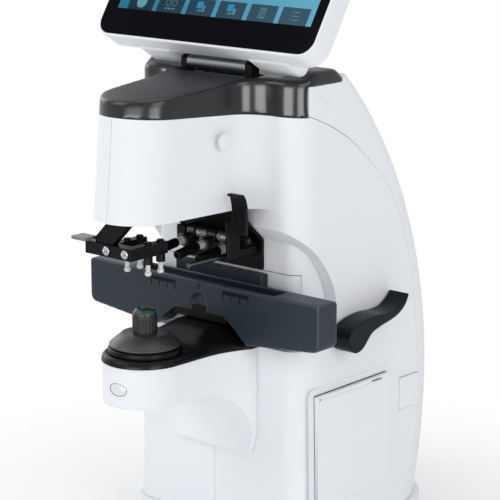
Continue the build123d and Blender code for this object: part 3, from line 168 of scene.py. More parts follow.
def settle(piece, finish, soft, angle):
    """Smooth shading up to an angle, a softened edge and a material."""
    mesh = piece.data
    mesh.polygons.foreach_set("use_smooth", np.ones(len(mesh.polygons), bool))
    mesh.set_sharp_from_angle(angle=math.radians(angle))
    mesh.materials.clear()
    mesh.materials.append(finish)
    if soft:
        bevel = piece.modifiers.new("Soft edge", "BEVEL")
        bevel.width = soft * MM
        bevel.segments = 3
        bevel.limit_method = "ANGLE"
        bevel.angle_limit = math.radians(angle)
        bevel.harden_normals = True
        bevel.use_clamp_overlap = True


def grid_faces(rows, columns, wrap_rows=False, wrap_columns=False):
    """The quads of a grid of points, joined round at its ends where asked."""
    r = np.arange(rows if wrap_rows else rows - 1)
    c = np.arange(columns if wrap_columns else columns - 1)
    r, c = np.meshgrid(r, c, indexing="ij")
    r2, c2 = (r + 1) % rows, (c + 1) % columns
    quads = np.stack([r * columns + c, r * columns + c2, r2 * columns + c2, r2 * columns + c], -1)
    return quads.reshape(-1, 4)


def surface(x, y, z, wrap_rows=False):
    """A grid of points as a shape, joined round across its columns."""
    points = np.stack(np.broadcast_arrays(x, y, z), -1)
    return points.reshape(-1, 3), grid_faces(*points.shape[:2], wrap_rows, True)


def circle(steps):
    """The angles of so many points round a circle."""
    return np.linspace(0, 2 * math.pi, steps, endpoint=False)


def turned(profile, centre, steps=96, ribs=0, depth=0.0, rib_low=0.0, rib_high=0.0, core=6.8):
    """A closed profile of (radius, height) turned about a vertical line.

    Ribs draw the radius in by depth * max(cos(ribs * turn), 0)^2 between two heights, outside the core.
    """
    profile = np.asarray(profile, float)
    turn = circle(steps)
    radius, height = profile[:, :1], profile[:, 1:]
    inside = (height > rib_low) & (height < rib_high) & (radius > core)
    waves = np.clip(np.cos(turn * ribs), 0, 1) ** 2 if ribs else np.zeros_like(turn)
    spread = radius - inside * depth * waves
    points, faces = surface(centre[0] + spread * np.cos(turn), centre[1] + spread * np.sin(turn), height, True)
    return points, faces[:, ::-1]


def slab(points, y_front, y_rear):
    """A flat outline of (x, z) points, seen from the front, pushed back from one y to another."""
    outline = np.asarray(points, float)
    n = len(outline)
    front = np.stack([outline[:, 0], np.full(n, y_front), outline[:, 1]], -1)
    rear = front + [0, y_rear - y_front, 0]
    k = np.arange(n)
    sides = np.stack([k, k + n, (k + 1) % n + n, (k + 1) % n], -1)
    faces = [list(k), list(k[::-1] + n)] + [list(s) for s in sides]
    return np.concatenate([front, rear]), faces


def disc(rings, steps, sink=0.0):
    """A round head about the y axis: rings of (radius, y), open behind; sink moves each point along y."""
    rings = np.asarray(rings, float)
    turn = circle(steps)
    return surface(rings[:, :1] * np.cos(turn), rings[:, 1:] + sink, rings[:, :1] * np.sin(turn))


def rectangle(x0, x1, z0, z1):
    """The corners of a rectangle, going round from the lower left."""
    return [(x0, z0), (x1, z0), (x1, z1), (x0, z1)]


def rounded(x0, x1, z0, z1, radius, steps=6):
    """The corners of a rounded rectangle, going round from the lower left."""
    turn = np.linspace(0, math.pi / 2, steps)
    centres = ((x0 + radius, z0 + radius, math.pi), (x1 - radius, z0 + radius, 1.5 * math.pi),
               (x1 - radius, z1 - radius, 0.0), (x0 + radius, z1 - radius, 0.5 * math.pi))
    return np.concatenate([(cx + radius * np.cos(start + turn), cz + radius * np.sin(start + turn))
                           for cx, cz, start in centres], 1).T


def ring(x, z, radius, steps=24):
    """The points of a circle, seen from the front."""
    turn = circle(steps)
    return np.stack([x + radius * np.cos(turn), z + radius * np.sin(turn)], -1)


def joined(shapes):
    """Several (points, faces) shapes as one."""
    verts, faces, count = [], [], 0
    for points, polygons in shapes:
        verts.append(np.asarray(points, float))
        faces += [[int(i) + count for i in p] for p in polygons]
        count += len(points)
    return np.concatenate(verts), faces


def display_place(shape):
    """A shape from the display's own upright frame, turned back about the hinge."""
    points, faces = shape
    x, y, z = np.asarray(points, float).T
    c, s = math.cos(DISPLAY_LEAN), math.sin(DISPLAY_LEAN)
    return np.stack([x, HINGE_Y + y * c + z * s, HINGE_Z - y * s + z * c], -1), faces


def stand_for(node, mesh, finish, soft, angle):
    """A piece of this mesh that stands for a solid part and rides on its body."""
    mesh.name = node + "_looks"
    piece = new_object(node + "_looks", mesh)
    settle(piece, finish, soft, angle)
    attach(piece, frame["nodes"][node]["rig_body"])
    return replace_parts(piece, node)


def dressed(node, finish, soft=0.4, angle=32.0, reshape=None):
    """A cleaned copy of a solid part with soft edges."""
    mesh = frame["nodes"][node].data.copy()
    shape = bmesh.new()
    shape.from_mesh(mesh)
    bmesh.ops.remove_doubles(shape, verts=shape.verts, dist=2e-6)
    if reshape:
        reshape(shape)
    shape.to_mesh(mesh)
    shape.free()
    if mesh.has_custom_normals:
        mesh.attributes.remove(mesh.attributes["custom_normal"])
    return stand_for(node, mesh, finish, soft, angle)


def softened(node, finish, cell, rounds, hold=None, bend=None):
    """A copy of a solid part with its edges drawn round.

    The copy is made of small even faces. Each point p then goes to p + share * (mean of its neighbours - p) in
    each round, with share = 0.5 * hold(p), so an edge gets a radius of about cell * sqrt(rounds / 2).
    """
    rough = new_object(node + "_rough", frame["nodes"][node].data.copy())
    even = rough.modifiers.new("Even faces", "REMESH")
    even.mode = "VOXEL"
    even.voxel_size = cell * MM
    ready = rough.evaluated_get(bpy.context.evaluated_depsgraph_get())
    mesh = bpy.data.meshes.new_from_object(ready)
    bpy.data.objects.remove(rough)
    count = len(mesh.vertices)
    points = np.empty(count * 3)
    mesh.vertices.foreach_get("co", points)
    points = points.reshape(-1, 3)
    ends = np.empty(len(mesh.edges) * 2, np.int32)
    mesh.edges.foreach_get("vertices", ends)
    a, b = ends.reshape(-1, 2).T
    near = np.bincount(a, minlength=count) + np.bincount(b, minlength=count)
    share = 0.5 * (hold(points / MM)[:, None] if hold else 1.0)
    for _ in range(rounds):
        total = [np.bincount(a, points[b, k], count) + np.bincount(b, points[a, k], count) for k in range(3)]
        points = points + share * (np.stack(total, -1) / near[:, None] - points)
    if bend:
        points = bend(points / MM) * MM
    mesh.vertices.foreach_set("co", points.ravel())
    return stand_for(node, mesh, finish, 0.0, 50)


# Finishes

def feed(tree, target, inputs):
    """Link each named input to the socket given for it, or set its value."""
    for socket, value in inputs.items():
        if isinstance(value, bpy.types.NodeSocket):
            tree.links.new(value, target.inputs[socket])
        else:
            target.inputs[socket].default_value = value


def add_node(tree, kind, inputs=None, **settings):
    """The outputs of a new shader node, with its settings made and its inputs fed."""
    made = tree.nodes.new("ShaderNode" + kind)
    for key, value in settings.items():
        setattr(made, key, value)
    feed(tree, made, inputs or {})
    return made.outputs


def maths(tree, operation, *inputs):
    """The result of a sum on sockets or values."""
    return add_node(tree, "Math", dict(enumerate(inputs)), operation=operation)[0]


def seen_directly(tree):
    """One for rays from the camera, mirrors and glass, and nought for the light itself."""
    path = add_node(tree, "LightPath")
    plain = maths(tree, "MAXIMUM", path["Is Camera Ray"], path["Is Glossy Ray"])
    return maths(tree, "MAXIMUM", plain, path["Is Transmission Ray"])


def new_material(name):
    """A new material with its node tree and its shader."""
    material = bpy.data.materials.new(name)
    material.use_nodes = True
    return material, material.node_tree, material.node_tree.nodes["Principled BSDF"]


def moulded_group():
    """Moulded plastic: a fine grain in the normal, and slow changes in colour and roughness."""
    name = "Moulded surface"
    if name in bpy.data.node_groups:
        return bpy.data.node_groups[name]
    group = bpy.data.node_groups.new(name, "ShaderNodeTree")
    sockets = {"INPUT": {"Color": "Color", "Variation": "Float", "Roughness": "Float", "Grain Scale": "Float",
                         "Grain Height": "Float"},
               "OUTPUT": {"Color": "Color", "Roughness": "Float", "Normal": "Vector"}}
    for way, kinds in sockets.items():
        for label, kind in kinds.items():
            group.interface.new_socket(label, in_out=way, socket_type="NodeSocket" + kind)
    given = group.nodes.new("NodeGroupInput").outputs
    place = add_node(group, "TexCoord")["Object"]
    slow = add_node(group, "TexNoise", {"Vector": place, "Scale": 22.0, "Detail": 3.0})["Fac"]
    fine = add_node(group, "TexNoise", {"Vector": place, "Scale": given["Grain Scale"], "Detail": 2.0})["Fac"]
    centred = maths(group, "SUBTRACT", slow, 0.5)
    bright = maths(group, "ADD", maths(group, "MULTIPLY", centred, given["Variation"]), 1.0)
    tint = add_node(group, "VectorMath", {0: given["Color"], "Scale": bright}, operation="SCALE")["Vector"]
    rough = maths(group, "MULTIPLY_ADD", centred, 0.08, given["Roughness"])
    bump = add_node(group, "Bump", {"Strength": 0.6, "Distance": given["Grain Height"], "Height": fine})
    end = group.nodes.new("NodeGroupOutput")
    feed(group, end, {"Color": tint, "Roughness": rough, "Normal": bump["Normal"]})
    return group


def finish_for(name, colour, roughness, grain, height, variation, specular=0.5, coat=0.0):
    """A moulded or painted finish from the shared group, with its gleam and coat on the shader itself."""
    if name in bpy.data.materials:
        return bpy.data.materials[name]
    material, tree, shader = new_material(name)
    made = add_node(tree, "Group", {"Color": (*colour, 1), "Variation": variation, "Roughness": roughness,
                                    "Grain Scale": grain, "Grain Height": height}, node_tree=moulded_group())
    feed(tree, shader, {"Roughness": made["Roughness"], "Normal": made["Normal"], "Base Color": made["Color"],
                        "Specular IOR Level": specular, "Coat Weight": coat})
    return material


def glow_with_painted_glare(name, colour, glare_colour):
    """A part of the screen's glowing picture with a painted glare: its light passes from its own colour at the
    left to a brighter glare colour at the right.
    """
    material, tree, shader = new_material(name)
    place = add_node(tree, "TexCoord")["Object"]
    noise = add_node(tree, "TexNoise", {"Vector": place, "Scale": 14.0})["Fac"]
    x = add_node(tree, "SeparateXYZ", {"Vector": place})["X"]
    # This ramp from left to right paints the glare over the screen's right side; the noise only mottles it.
    across = add_node(tree, "MapRange", {"Value": x, "From Min": -0.06, "From Max": 0.08})["Result"]
    mottled_glare = maths(tree, "MULTIPLY_ADD", noise, 0.15, across)
    light = add_node(tree, "Mix", {"Factor": mottled_glare, "A": (*colour, 1), "B": (*glare_colour, 1)}, data_type="RGBA")
    feed(tree, shader, {"Emission Color": light["Result"], "Emission Strength": 1.0, "Roughness": 0.12,
                        "Base Color": (0.004, 0.004, 0.005, 1), "Specular IOR Level": 0.04})
    return material


def brushed_finish(name, colour, roughness):
    """Bright metal with fine streaks along X."""
    if name in bpy.data.materials:
        return bpy.data.materials[name]
    material, tree, shader = new_material(name)
    place = add_node(tree, "TexCoord")["Object"]
    stretch = add_node(tree, "Mapping", {"Vector": place, "Scale": (60, 2600, 2600)})["Vector"]
    streaks = add_node(tree, "TexNoise", {"Vector": stretch, "Scale": 1.0})["Fac"]
    spread = add_node(tree, "MapRange", {"Value": streaks, "To Min": roughness - 0.06,
                                         "To Max": roughness + 0.1})
    bump = add_node(tree, "Bump", {"Height": streaks, "Distance": 0.00001, "Strength": 0.4})
    feed(tree, shader, {"Roughness": spread["Result"], "Normal": bump["Normal"], "Base Color": (*colour, 1),
                        "Metallic": 1.0})
    return material


def white_housing():
    looks = bpy.context.scene.housing_looks
    return finish_for("White housing", tuple(looks.colour), 0.55, 1100.0, looks.grain, 0.02, 0.15)


def black_works():
    colour = tuple(bpy.context.scene.black_looks.works)
    return finish_for("Black works", colour, 0.34, 1500.0, 0.00002, 0.2, 0.1)


def black_metal():
    colour = tuple(bpy.context.scene.black_looks.works)
    return finish_for("Black painted sheet", colour, 0.45, 2200.0, 0.00003, 0.2, 0.1)


def charcoal():
    colour = tuple(bpy.context.scene.black_looks.table)
    return finish_for("Charcoal table", colour, 0.38, 1700.0, 0.00003, 0.10, 0.2)


def charcoal_with_painted_highlight():
    """The table's charcoal with a painted highlight: paler where an edge stands out."""
    looks = bpy.context.scene.black_looks
    material = finish_for("Rubbed charcoal", tuple(looks.table), 0.36, 1700.0, 0.00003, 0.10, 0.22)
    tree = material.node_tree
    shader = tree.nodes["Principled BSDF"]
    plain = shader.inputs["Base Color"].links[0].from_socket
    # Pointiness finds the edges that stand out, and the edge colour paints a highlight on them.
    shape = add_node(tree, "NewGeometry")["Pointiness"]
    edge = add_node(tree, "MapRange", {"Value": shape, "From Min": 0.515, "From Max": 0.6})["Result"]
    highlighted = add_node(tree, "Mix", {"Factor": edge, "A": plain, "B": (*looks.edge, 1)}, data_type="RGBA")
    feed(tree, shader, {"Base Color": highlighted["Result"]})
    return material


def steel():
    return brushed_finish("Brushed steel", (0.42, 0.43, 0.45), 0.34)


def cap_finish():
    """The cap: satin on what faces up, glossy round its side band."""
    colour = tuple(bpy.context.scene.black_looks.cap)
    material = finish_for("Cap satin and gloss", colour, 0.3, 1300.0, 0.00002, 0.15, 0.42)
    tree = material.node_tree
    up = add_node(tree, "SeparateXYZ", {"Vector": add_node(tree, "TexCoord")["Normal"]})["Z"]
    level = add_node(tree, "MapRange", {"Value": up, "From Min": 0.55, "From Max": 0.95, "To Min": 0.2,
                                        "To Max": 0.42})
    feed(tree, tree.nodes["Principled BSDF"], {"Roughness": level["Result"]})
    return material


# Operators: one for each piece or group of like pieces, after the functions that it alone uses

def close_seam(shape):
    """Let the shroud meet the edge of its window: its sides go out, and its top up, by 0.5 mm."""
    side, top, step = 0.0590, 0.1885, 0.0005
    for vert in shape.verts:
        if abs(vert.co.x) > side:
            vert.co.x += math.copysign(step, vert.co.x)
        if vert.co.z > top:
            vert.co.z += step


class LENSMETER_OT_housing(bpy.types.Operator):
    """Dress the white housing, base and stand"""
    bl_idname = "lensmeter.housing"
    bl_label = "Housing"

    def execute(self, context):
        soft = context.scene.housing_looks.edge / MM
        for node in ("left_shell", "right_shell", "rear_shell", "base_plate", "stand_housing", "throat_neck"):
            dressed(node, white_housing(), soft, 30)
        dressed("table_shroud", white_housing(), soft, 30, close_seam)
        dressed("base_feet", finish_for("Foot rubber", (0.02, 0.02, 0.02), 0.8, 1200.0, 0.00004, 0.3), 0.8)
        return {"FINISHED"}


def screw_cover(x, y, z, side, radius=5.2):
    """A shallow disc with a groove round it, facing out along X."""
    points, faces = disc([(radius, -1.0), (radius, 0.25), (radius - 0.35, 0.42), (radius * 0.5, 0.5),
                          (0.02, 0.52)], 40)
    return np.stack([x + side * points[:, 1], y + side * points[:, 0], z + points[:, 2]], -1), faces


class LENSMETER_OT_screw_covers(bpy.types.Operator):
    """Add the round screw covers on the head and the rear shell"""
    bl_idname = "lensmeter.screw_covers"
    bl_label = "Screw covers"

    def execute(self, context):
        places = ((34.3, -73.1, 277.2), (69.3, -24.0, 297.8))
        covers = joined([screw_cover(side * x, y, z, side) for side in (-1, 1) for x, y, z in places])
        add_piece("screw_covers", *covers, white_housing(), "frame", 0.0, 30)
        return {"FINISHED"}


def above_seam(points):
    """0 at the seam with the head, rising to 1 in 5 mm above it.

    The seam is z = 296 - 0.055 * (y + 131) as far back as y = -34.5, and at z = 309.5 behind that.
    """
    y, z = points[:, 1], points[:, 2]
    seam = np.where(y < -34.5, 296 - 0.055 * (y + 131), 309.5)
    return np.clip((z - seam - 0.6) / 5.0, 0, 1)


class LENSMETER_OT_cap(bpy.types.Operator):
    """Dress the black cap over the head"""
    bl_idname = "lensmeter.cap"
    bl_label = "Cap"

    def execute(self, context):
        softened("top_cover", cap_finish(), 0.85, 30, above_seam)
        return {"FINISHED"}


def half_plan(y):
    """Half the top's width at each y.

    A round nose, sqrt(r^2 - (y - y0)^2), then a side that goes out by 2 mm in 58 mm, and behind y = -84 it
    flares to the column by 8.5 * t^2, with t = (y + 84) / 32.
    """
    nose = np.sqrt(np.clip(STAND_RADIUS ** 2 - np.clip(y - STAND_NOSE_Y, -STAND_RADIUS, 0) ** 2, 0, None))
    run = np.clip((y - STAND_NOSE_Y) / 58.0, 0, 1)
    return nose + 2.0 * run + 8.5 * np.clip((y + 84) / 32.0, 0, 1) ** 2


def stand_hill():
    """z = top + lip(distance to the edge) + height * fall(|x|) * climb(y), over the plan.

    The lip is a quarter round, the fall half a cosine wave, and the climb t^2 * (3 - 2t). A flat grid
    closes the shape below, and there is a flat well round the nosepiece.
    """
    rows, columns = 150, 121
    lip_height, lip_width, well_radius = 4.6, 3.2, 7.0
    hill_height, crest_half, fall_width, climb_start, climb_length = 9.4, 12.0, 22.0, -88.0, 27.0
    front = STAND_NOSE_Y - STAND_RADIUS
    t = np.linspace(0, 1, rows)
    y = front + (STAND_REAR_Y - front) * (1 - np.cos(t * math.pi / 2)) ** 0.9
    half = half_plan(y)[:, None]
    x = half * np.sin(np.linspace(-1, 1, columns) * math.pi / 2)
    y = np.broadcast_to(y[:, None], x.shape)
    round_part = y < STAND_NOSE_Y
    side = (half - np.abs(x)) * np.where(round_part, np.clip(half / STAND_RADIUS, 0.02, 1), 1)
    edge = np.where(round_part, STAND_RADIUS - np.hypot(x, y - STAND_NOSE_Y), side)
    lip = lip_height * np.sqrt(1 - (1 - np.clip(edge / lip_width, 0, 1)) ** 2)
    fall = 0.5 * (1 + np.cos(math.pi * np.clip((np.abs(x) - crest_half) / fall_width, 0, 1)))
    climb = np.clip((y - climb_start) / climb_length, 0, 1)
    z = STAND_TOP + lip + hill_height * fall * climb ** 2 * (3 - 2 * climb)
    z[np.hypot(x, y - AXIS_Y) < well_radius] = STAND_TOP + 0.2
    rim = np.ones(x.shape, bool)
    rim[1:-1, 1:-1] = False
    z[rim] = STAND_TOP
    top = np.stack([x, y, z], -1).reshape(-1, 3)
    below = np.arange(rows * columns)
    free = ~rim.ravel()
    below[free] = rows * columns + np.arange(free.sum())
    floor = top[free] * [1, 1, 0] + [0, 0, STAND_TOP]
    quads = grid_faces(rows, columns)
    return np.concatenate([top, floor]), list(quads) + list(below[quads[:, ::-1]])


class LENSMETER_OT_stand_top(bpy.types.Operator):
    """Shape the stand's black top with its hill, and dress the plate under the head"""
    bl_idname = "lensmeter.stand_top"
    bl_label = "Stand top"

    def execute(self, context):
        colour = tuple(c * 1.2 for c in context.scene.black_looks.works)
        top = finish_for("Stand top", colour, 0.26, 1500.0, 0.00002, 0.2, 0.13)
        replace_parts(add_piece("stand_top", *stand_hill(), top, "frame", 0.0, 60), "stand_cover")
        dressed("head_underplate", black_works(), 0.3)
        dressed("light_source", black_works(), 0.3)
        return {"FINISHED"}


class LENSMETER_OT_nosepiece(bpy.types.Operator):
    """Build the stepped ring, the slope inside it, the ribbed stem and the green cone"""
    bl_idname = "lensmeter.nosepiece"
    bl_label = "Nosepiece"

    def execute(self, context):
        looks = context.scene.nose_looks
        centre = (0, AXIS_Y)
        satin = finish_for("Nose slope", (0.022, 0.022, 0.024), 0.38, 1500.0, 0.00001, 0.2)
        foot = [(6.0, 147.0), (22.6, 147.0), (23.1, 147.5), (23.25, 148.6), (23.0, 149.9), (22.2, 150.6),
                (21.2, 150.8), (20.9, 151.0), (20.9, 151.4), (6.0, 151.4)]
        piece = add_piece("nose_ring", *turned(foot, centre, 128), black_works(), "frame", 0.0, 24)
        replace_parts(piece, "nosepiece_base")
        slope = [(6.0, 151.3), (21.3, 151.3), (21.9, 151.5), (22.3, 151.8), (22.3, 152.3), (22.1, 152.6),
                 (14.5, 159.0), (13.9, 159.2), (6.0, 159.25)]
        add_piece("nose_slope", *turned(slope, centre, 128), satin, "frame", 0.0, 24)
        stem = [(4.8, 147.5), (5.9, 147.5), (5.9, 159.0), (7.7, 159.2), (7.7, 160.0), (7.75, 160.8),
                (7.75, 161.4), (7.75, 162.4), (7.75, 168.2), (7.75, 168.8), (7.7, 170.3), (7.4, 171.0),
                (4.8, 171.0)]
        black = finish_for("Nose stem", (0.009, 0.009, 0.010), 0.45, 1500.0, 0.00002, 0.2, 0.25)
        ribbed = turned(stem, centre, 320, looks.ribs, 0.3, 160.9, 169.0)
        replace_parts(add_piece("nose_stem", *ribbed, black, "frame", 0.0, 50), "nosepiece_stem")
        cone = [(4.7, 171.0), (7.35, 171.0), (7.3, 171.7), (5.8, 173.9), (5.4, 174.3), (5.0, 174.4),
                (4.75, 174.1)]
        green = finish_for("Green cone", tuple(looks.cone), 0.3, 1500.0, 0.00001, 0.2, 0.35)
        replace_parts(add_piece("nose_cone", *turned(cone, centre), green, "frame", 0.0, 40), "nosepiece_tip")
        dressed("sensor_window", finish_for("Window glass", (0.02, 0.03, 0.03), 0.04, 400.0, 0.0, 0.1), 0.1)
        return {"FINISHED"}


def button_oval(inner, outer, lift, steps=72, rings=14):
    """An oval on the stand's round nose, of rings with a reach k from the inner to the outer one.

    x = 2.4 + 6.3 * k * cos(t), z = 128.5 + (3.9 * k + 0.25 * max(k - 1, 0)) * sin(t), and
    y = -110 - sqrt(r^2 - x^2) - lift(k).
    """
    reach = np.linspace(inner, outer, rings)[:, None]
    turn = circle(steps)
    x = 2.4 + 6.3 * reach * np.cos(turn)
    z = 128.5 + (3.9 * reach + 0.25 * np.clip(reach - 1, 0, 1)) * np.sin(turn)
    y = STAND_NOSE_Y - np.sqrt(STAND_FACE_RADIUS ** 2 - x ** 2) - lift(reach)
    return surface(x, y, z)


class LENSMETER_OT_button(bpy.types.Operator):
    """Dress the oval read button on the stand's nose"""
    bl_idname = "lensmeter.button"
    bl_label = "Read button"

    def execute(self, context):
        pale = finish_for("Button", (0.72, 0.73, 0.75), 0.3, 1100.0, 0.00002, 0.03, coat=0.3)
        button = button_oval(0.0, 1.0, lambda reach: 0.15 + 0.9 * np.sqrt(1 - reach ** 2))
        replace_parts(add_piece("read_button_looks", *button, pale, "button", 0.0, 50), "read_button")
        edge = button_oval(1.06, 1.55, lambda reach: 0.30 * (1 - ((reach - 1.06) / 0.49) ** 2) + 0.03)
        add_piece("button_surround", *edge, white_housing(), "frame", 0.0, 50)
        return {"FINISHED"}


def table_scale():
    """Two rows of lines, every seventh a long one, and a line at the middle."""
    top, half_width, long, short = 179.4, 0.33, 6.2, 2.6
    lines = []
    for low, high in ((-41.5, -20.5), (20.5, 41.5)):
        for i, x in enumerate(np.linspace(low, high, 22)):
            drop = short if i % 7 else long
            lines.append(rectangle(x - half_width, x + half_width, top - drop, top))
    lines.append(rectangle(-0.35, 0.35, 176.6, 181.2))
    front = TABLE_FRONT_Y - 0.06
    return joined([slab(line, front, front + 0.3) for line in lines])


class LENSMETER_OT_table(bpy.types.Operator):
    """Dress the lens table and its carriage, and add the engraved scale and the bar at its foot"""
    bl_idname = "lensmeter.table"
    bl_label = "Lens table"

    def execute(self, context):
        # The lens table's edges carry a painted highlight.
        softened("lens_table", charcoal_with_painted_highlight(), 0.8, 3)
        dressed("table_carriage", charcoal(), 0.35, 30)
        bar = slab(rectangle(-21.5, 21.5, 157.3, 166.0), TABLE_FRONT_Y + 0.4, TABLE_FRONT_Y + 16.0)
        add_piece("table_bar", *bar, black_works(), "table", 0.5, 40)
        ink = finish_for("Engraved scale", (0.0015, 0.0015, 0.002), 0.6, 1500.0, 0.00001, 0.2, 0.05)
        add_piece("table_scale", *table_scale(), ink, "table")
        return {"FINISHED"}


def smooth_outline(points, start, steps=6):
    """A closed curve of (y, z) through the points, from the one numbered start round to the one before it.

    Between b and c, with a before and d after them, it is 0.5 * (2b + (c - a) t + (2a - 5b + 4c - d) t^2
    + (3b - a - 3c + d) t^3). The straight line between its two ends keeps the lever's tip square.
    """
    line = np.roll(points, -start, axis=0)
    around = np.concatenate([[2 * line[0] - line[1]], line, [2 * line[-1] - line[-2]]])
    t = np.linspace(0, 1, steps, endpoint=False)[:, None]
    out = []
    for a, b, c, d in zip(around, around[1:], around[2:], around[3:]):
        square, cube = 2 * a - 5 * b + 4 * c - d, 3 * b - a - 3 * c + d
        out.append(0.5 * (2 * b + (c - a) * t + square * t ** 2 + cube * t ** 3))
    return np.concatenate(out + [line[-1:]])[::-1]


class LENSMETER_OT_lever(bpy.types.Operator):
    """Build the table's curved lever as one smooth paddle"""
    bl_idname = "lensmeter.lever"
    bl_label = "Table lever"

    def execute(self, context):
        colour = tuple(c * 0.35 for c in context.scene.black_looks.table)
        grip = finish_for("Lever grip", colour, 0.3, 1400.0, 0.00002, 0.15, 0.1)
        upper = [(-17.0, 147.2), (-17.1, 151.0), (-15.5, 154.9), (-11.4, 157.6), (-3.0, 160.1), (8.9, 161.2),
                 (21.0, 160.4), (30.7, 161.2), (37.7, 164.6), (42.4, 169.2)]
        lower = [(44.3, 168.3), (40.4, 162.0), (34.3, 157.6), (26.4, 155.0), (16.0, 153.1), (6.6, 150.4),
                 (1.6, 146.4), (-2.6, 142.4), (-6.8, 140.5), (-11.0, 140.4), (-14.9, 142.9)]
        outline = smooth_outline(np.array(upper + lower), len(upper))
        count = len(outline)
        rings = [np.column_stack([np.full(count, corner.x / MM), outline]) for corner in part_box("table_lever")]
        ends = [list(range(count))[::-1], list(range(count, 2 * count))]
        faces = ends + list(grid_faces(2, count, False, True))
        piece = add_piece("lever_looks", np.concatenate(rings), faces, grip, "lever", 0.9, 50)
        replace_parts(piece, "table_lever")
        return {"FINISHED"}


def screw_head(x, y, z, radius=2.75):
    """A domed screw head facing the front, with a cross cut into it."""
    steps = 48
    cross = (np.abs(np.sin(2 * circle(steps))) < 0.35) * 0.75
    sink = np.array([0, 0, 0, 1, 1])[:, None] * cross
    points, faces = disc([(radius, 0.6), (radius, -0.6), (radius * 0.85, -1.1), (radius * 0.45, -1.35),
                          (0.02, -1.4)], steps, sink)
    return points + [x, y, z], faces


class LENSMETER_OT_holder(bpy.types.Operator):
    """Dress the lens holder, its screws, thumb tab and sprung pins"""
    bl_idname = "lensmeter.holder"
    bl_label = "Lens holder"

    def execute(self, context):
        dressed("holder_arm", black_works(), 0.5)
        dressed("holder_fork", black_works(), 0.5)
        grey = finish_for("Thumb tab", (0.16, 0.17, 0.18), 0.4, 1400.0, 0.00002, 0.1)
        dressed("holder_tab", grey, 0.7)
        tips = finish_for("Pin tips", (0.62, 0.62, 0.62), 0.3, 1200.0, 0.00001, 0.05)
        for number in range(1, 5):
            low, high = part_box(f"holder_pin_{number}")
            x, y, top = (low.x + high.x) / 2 / MM, (low.y + high.y) / 2 / MM, high.z / MM
            tip = [(0.02, 197.0), (1.2, 197.1), (1.9, 197.7), (2.15, 198.6), (1.9, 199.6), (1.5, 200.2),
                   (1.35, 200.7), (1.45, 201.2), (1.5, 203.0), (1.5, top - 1.2), (0.02, top - 1.2)]
            head = [(0.02, top - 1.2), (2.3, top - 1.2), (2.3, top - 0.4), (1.9, top), (0.02, top)]
            pin = add_piece(f"pin_looks_{number}", *turned(tip, (x, y), 40), tips, f"pin_{number}", 0.0, 40)
            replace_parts(pin, f"holder_pin_{number}")
            add_piece(f"pin_head_{number}", *turned(head, (x, y), 32), black_works(), f"pin_{number}", 0.0, 40)
        screws = joined([screw_head(x, HOLDER_FRONT_Y, 213.4) for x in (-8.6, 7.1)])
        add_piece("holder_screws", *screws, steel(), "holder", 0.0, 35)
        return {"FINISHED"}


def make_room(shape):
    """Set the carriage's two inner faces 1 mm out, clear of the clips that swing there."""
    face, near, step = 0.0215, 0.0003, 0.001
    for vert in shape.verts:
        if abs(abs(vert.co.x) - face) < near:
            vert.co.x += math.copysign(step, vert.co.x)


def lean_forward(points):
    """Shape the lever's curled top.

    Its lip, in front of y = -68 and above z = 238, is drawn in to 0.45 of its length. Its top curves
    forward by 3 * t^2, t = (z - 233) / 12.5, and narrows about x = 40.8 by 0.16 * u^2, u = (z - 240) / 5.5.
    """
    x, y, z = points.T
    y = np.where((z > 238) & (y < -68), -68 + (y + 68) * 0.45, y)
    y = y - 3.0 * np.clip((z - 233) / 12.5, 0, 1) ** 2
    corner = np.clip((z - 240) / 5.5, 0, 1)
    return np.stack([40.8 + (x - 40.8) * (1 - 0.16 * corner ** 2), y, z], -1)


def coil(x0, x1, coils=6, radius=3.1, wire=0.38):
    """A coil of round wire on the swing line: x = x0 + (x1 - x0) t, (y, z) = r (cos, sin)(2 pi coils t)."""
    t = np.linspace(0, 1, coils * 20)[:, None]
    turn = 2 * math.pi * coils * t
    around = circle(8)
    reach = radius + wire * np.cos(around)
    x = x0 + (x1 - x0) * t + wire * np.sin(around)
    return surface(x, SWING_Y + reach * np.cos(turn), SWING_Z + reach * np.sin(turn))


def pen_part(profile, x):
    """A profile of (radius, distance along the pen) turned about its axis, which leans down to its tip."""
    points, faces = turned(profile, (0, 0), 48)
    side, up, along = points.T
    c, s = math.cos(PEN_TILT), math.sin(PEN_TILT)
    y = PEN_TIP_Y + (along + PEN_LENGTH) * c - up * s
    z = PEN_TIP_Z + (along + PEN_LENGTH) * s + up * c
    return np.stack([side + x, y, z], -1), faces[:, ::-1]


def hub(x, half, radius):
    """A round bar along X on the pens' swing line."""
    inner, end = radius - 0.3, half - 0.3
    profile = [(0.02, -half), (inner, -half), (radius, -end), (radius, end), (inner, half), (0.02, half)]
    points, faces = turned(profile, (0, 0), 32)
    return np.stack([points[:, 2] + x, SWING_Y + points[:, 0], SWING_Z + points[:, 1]], -1), faces


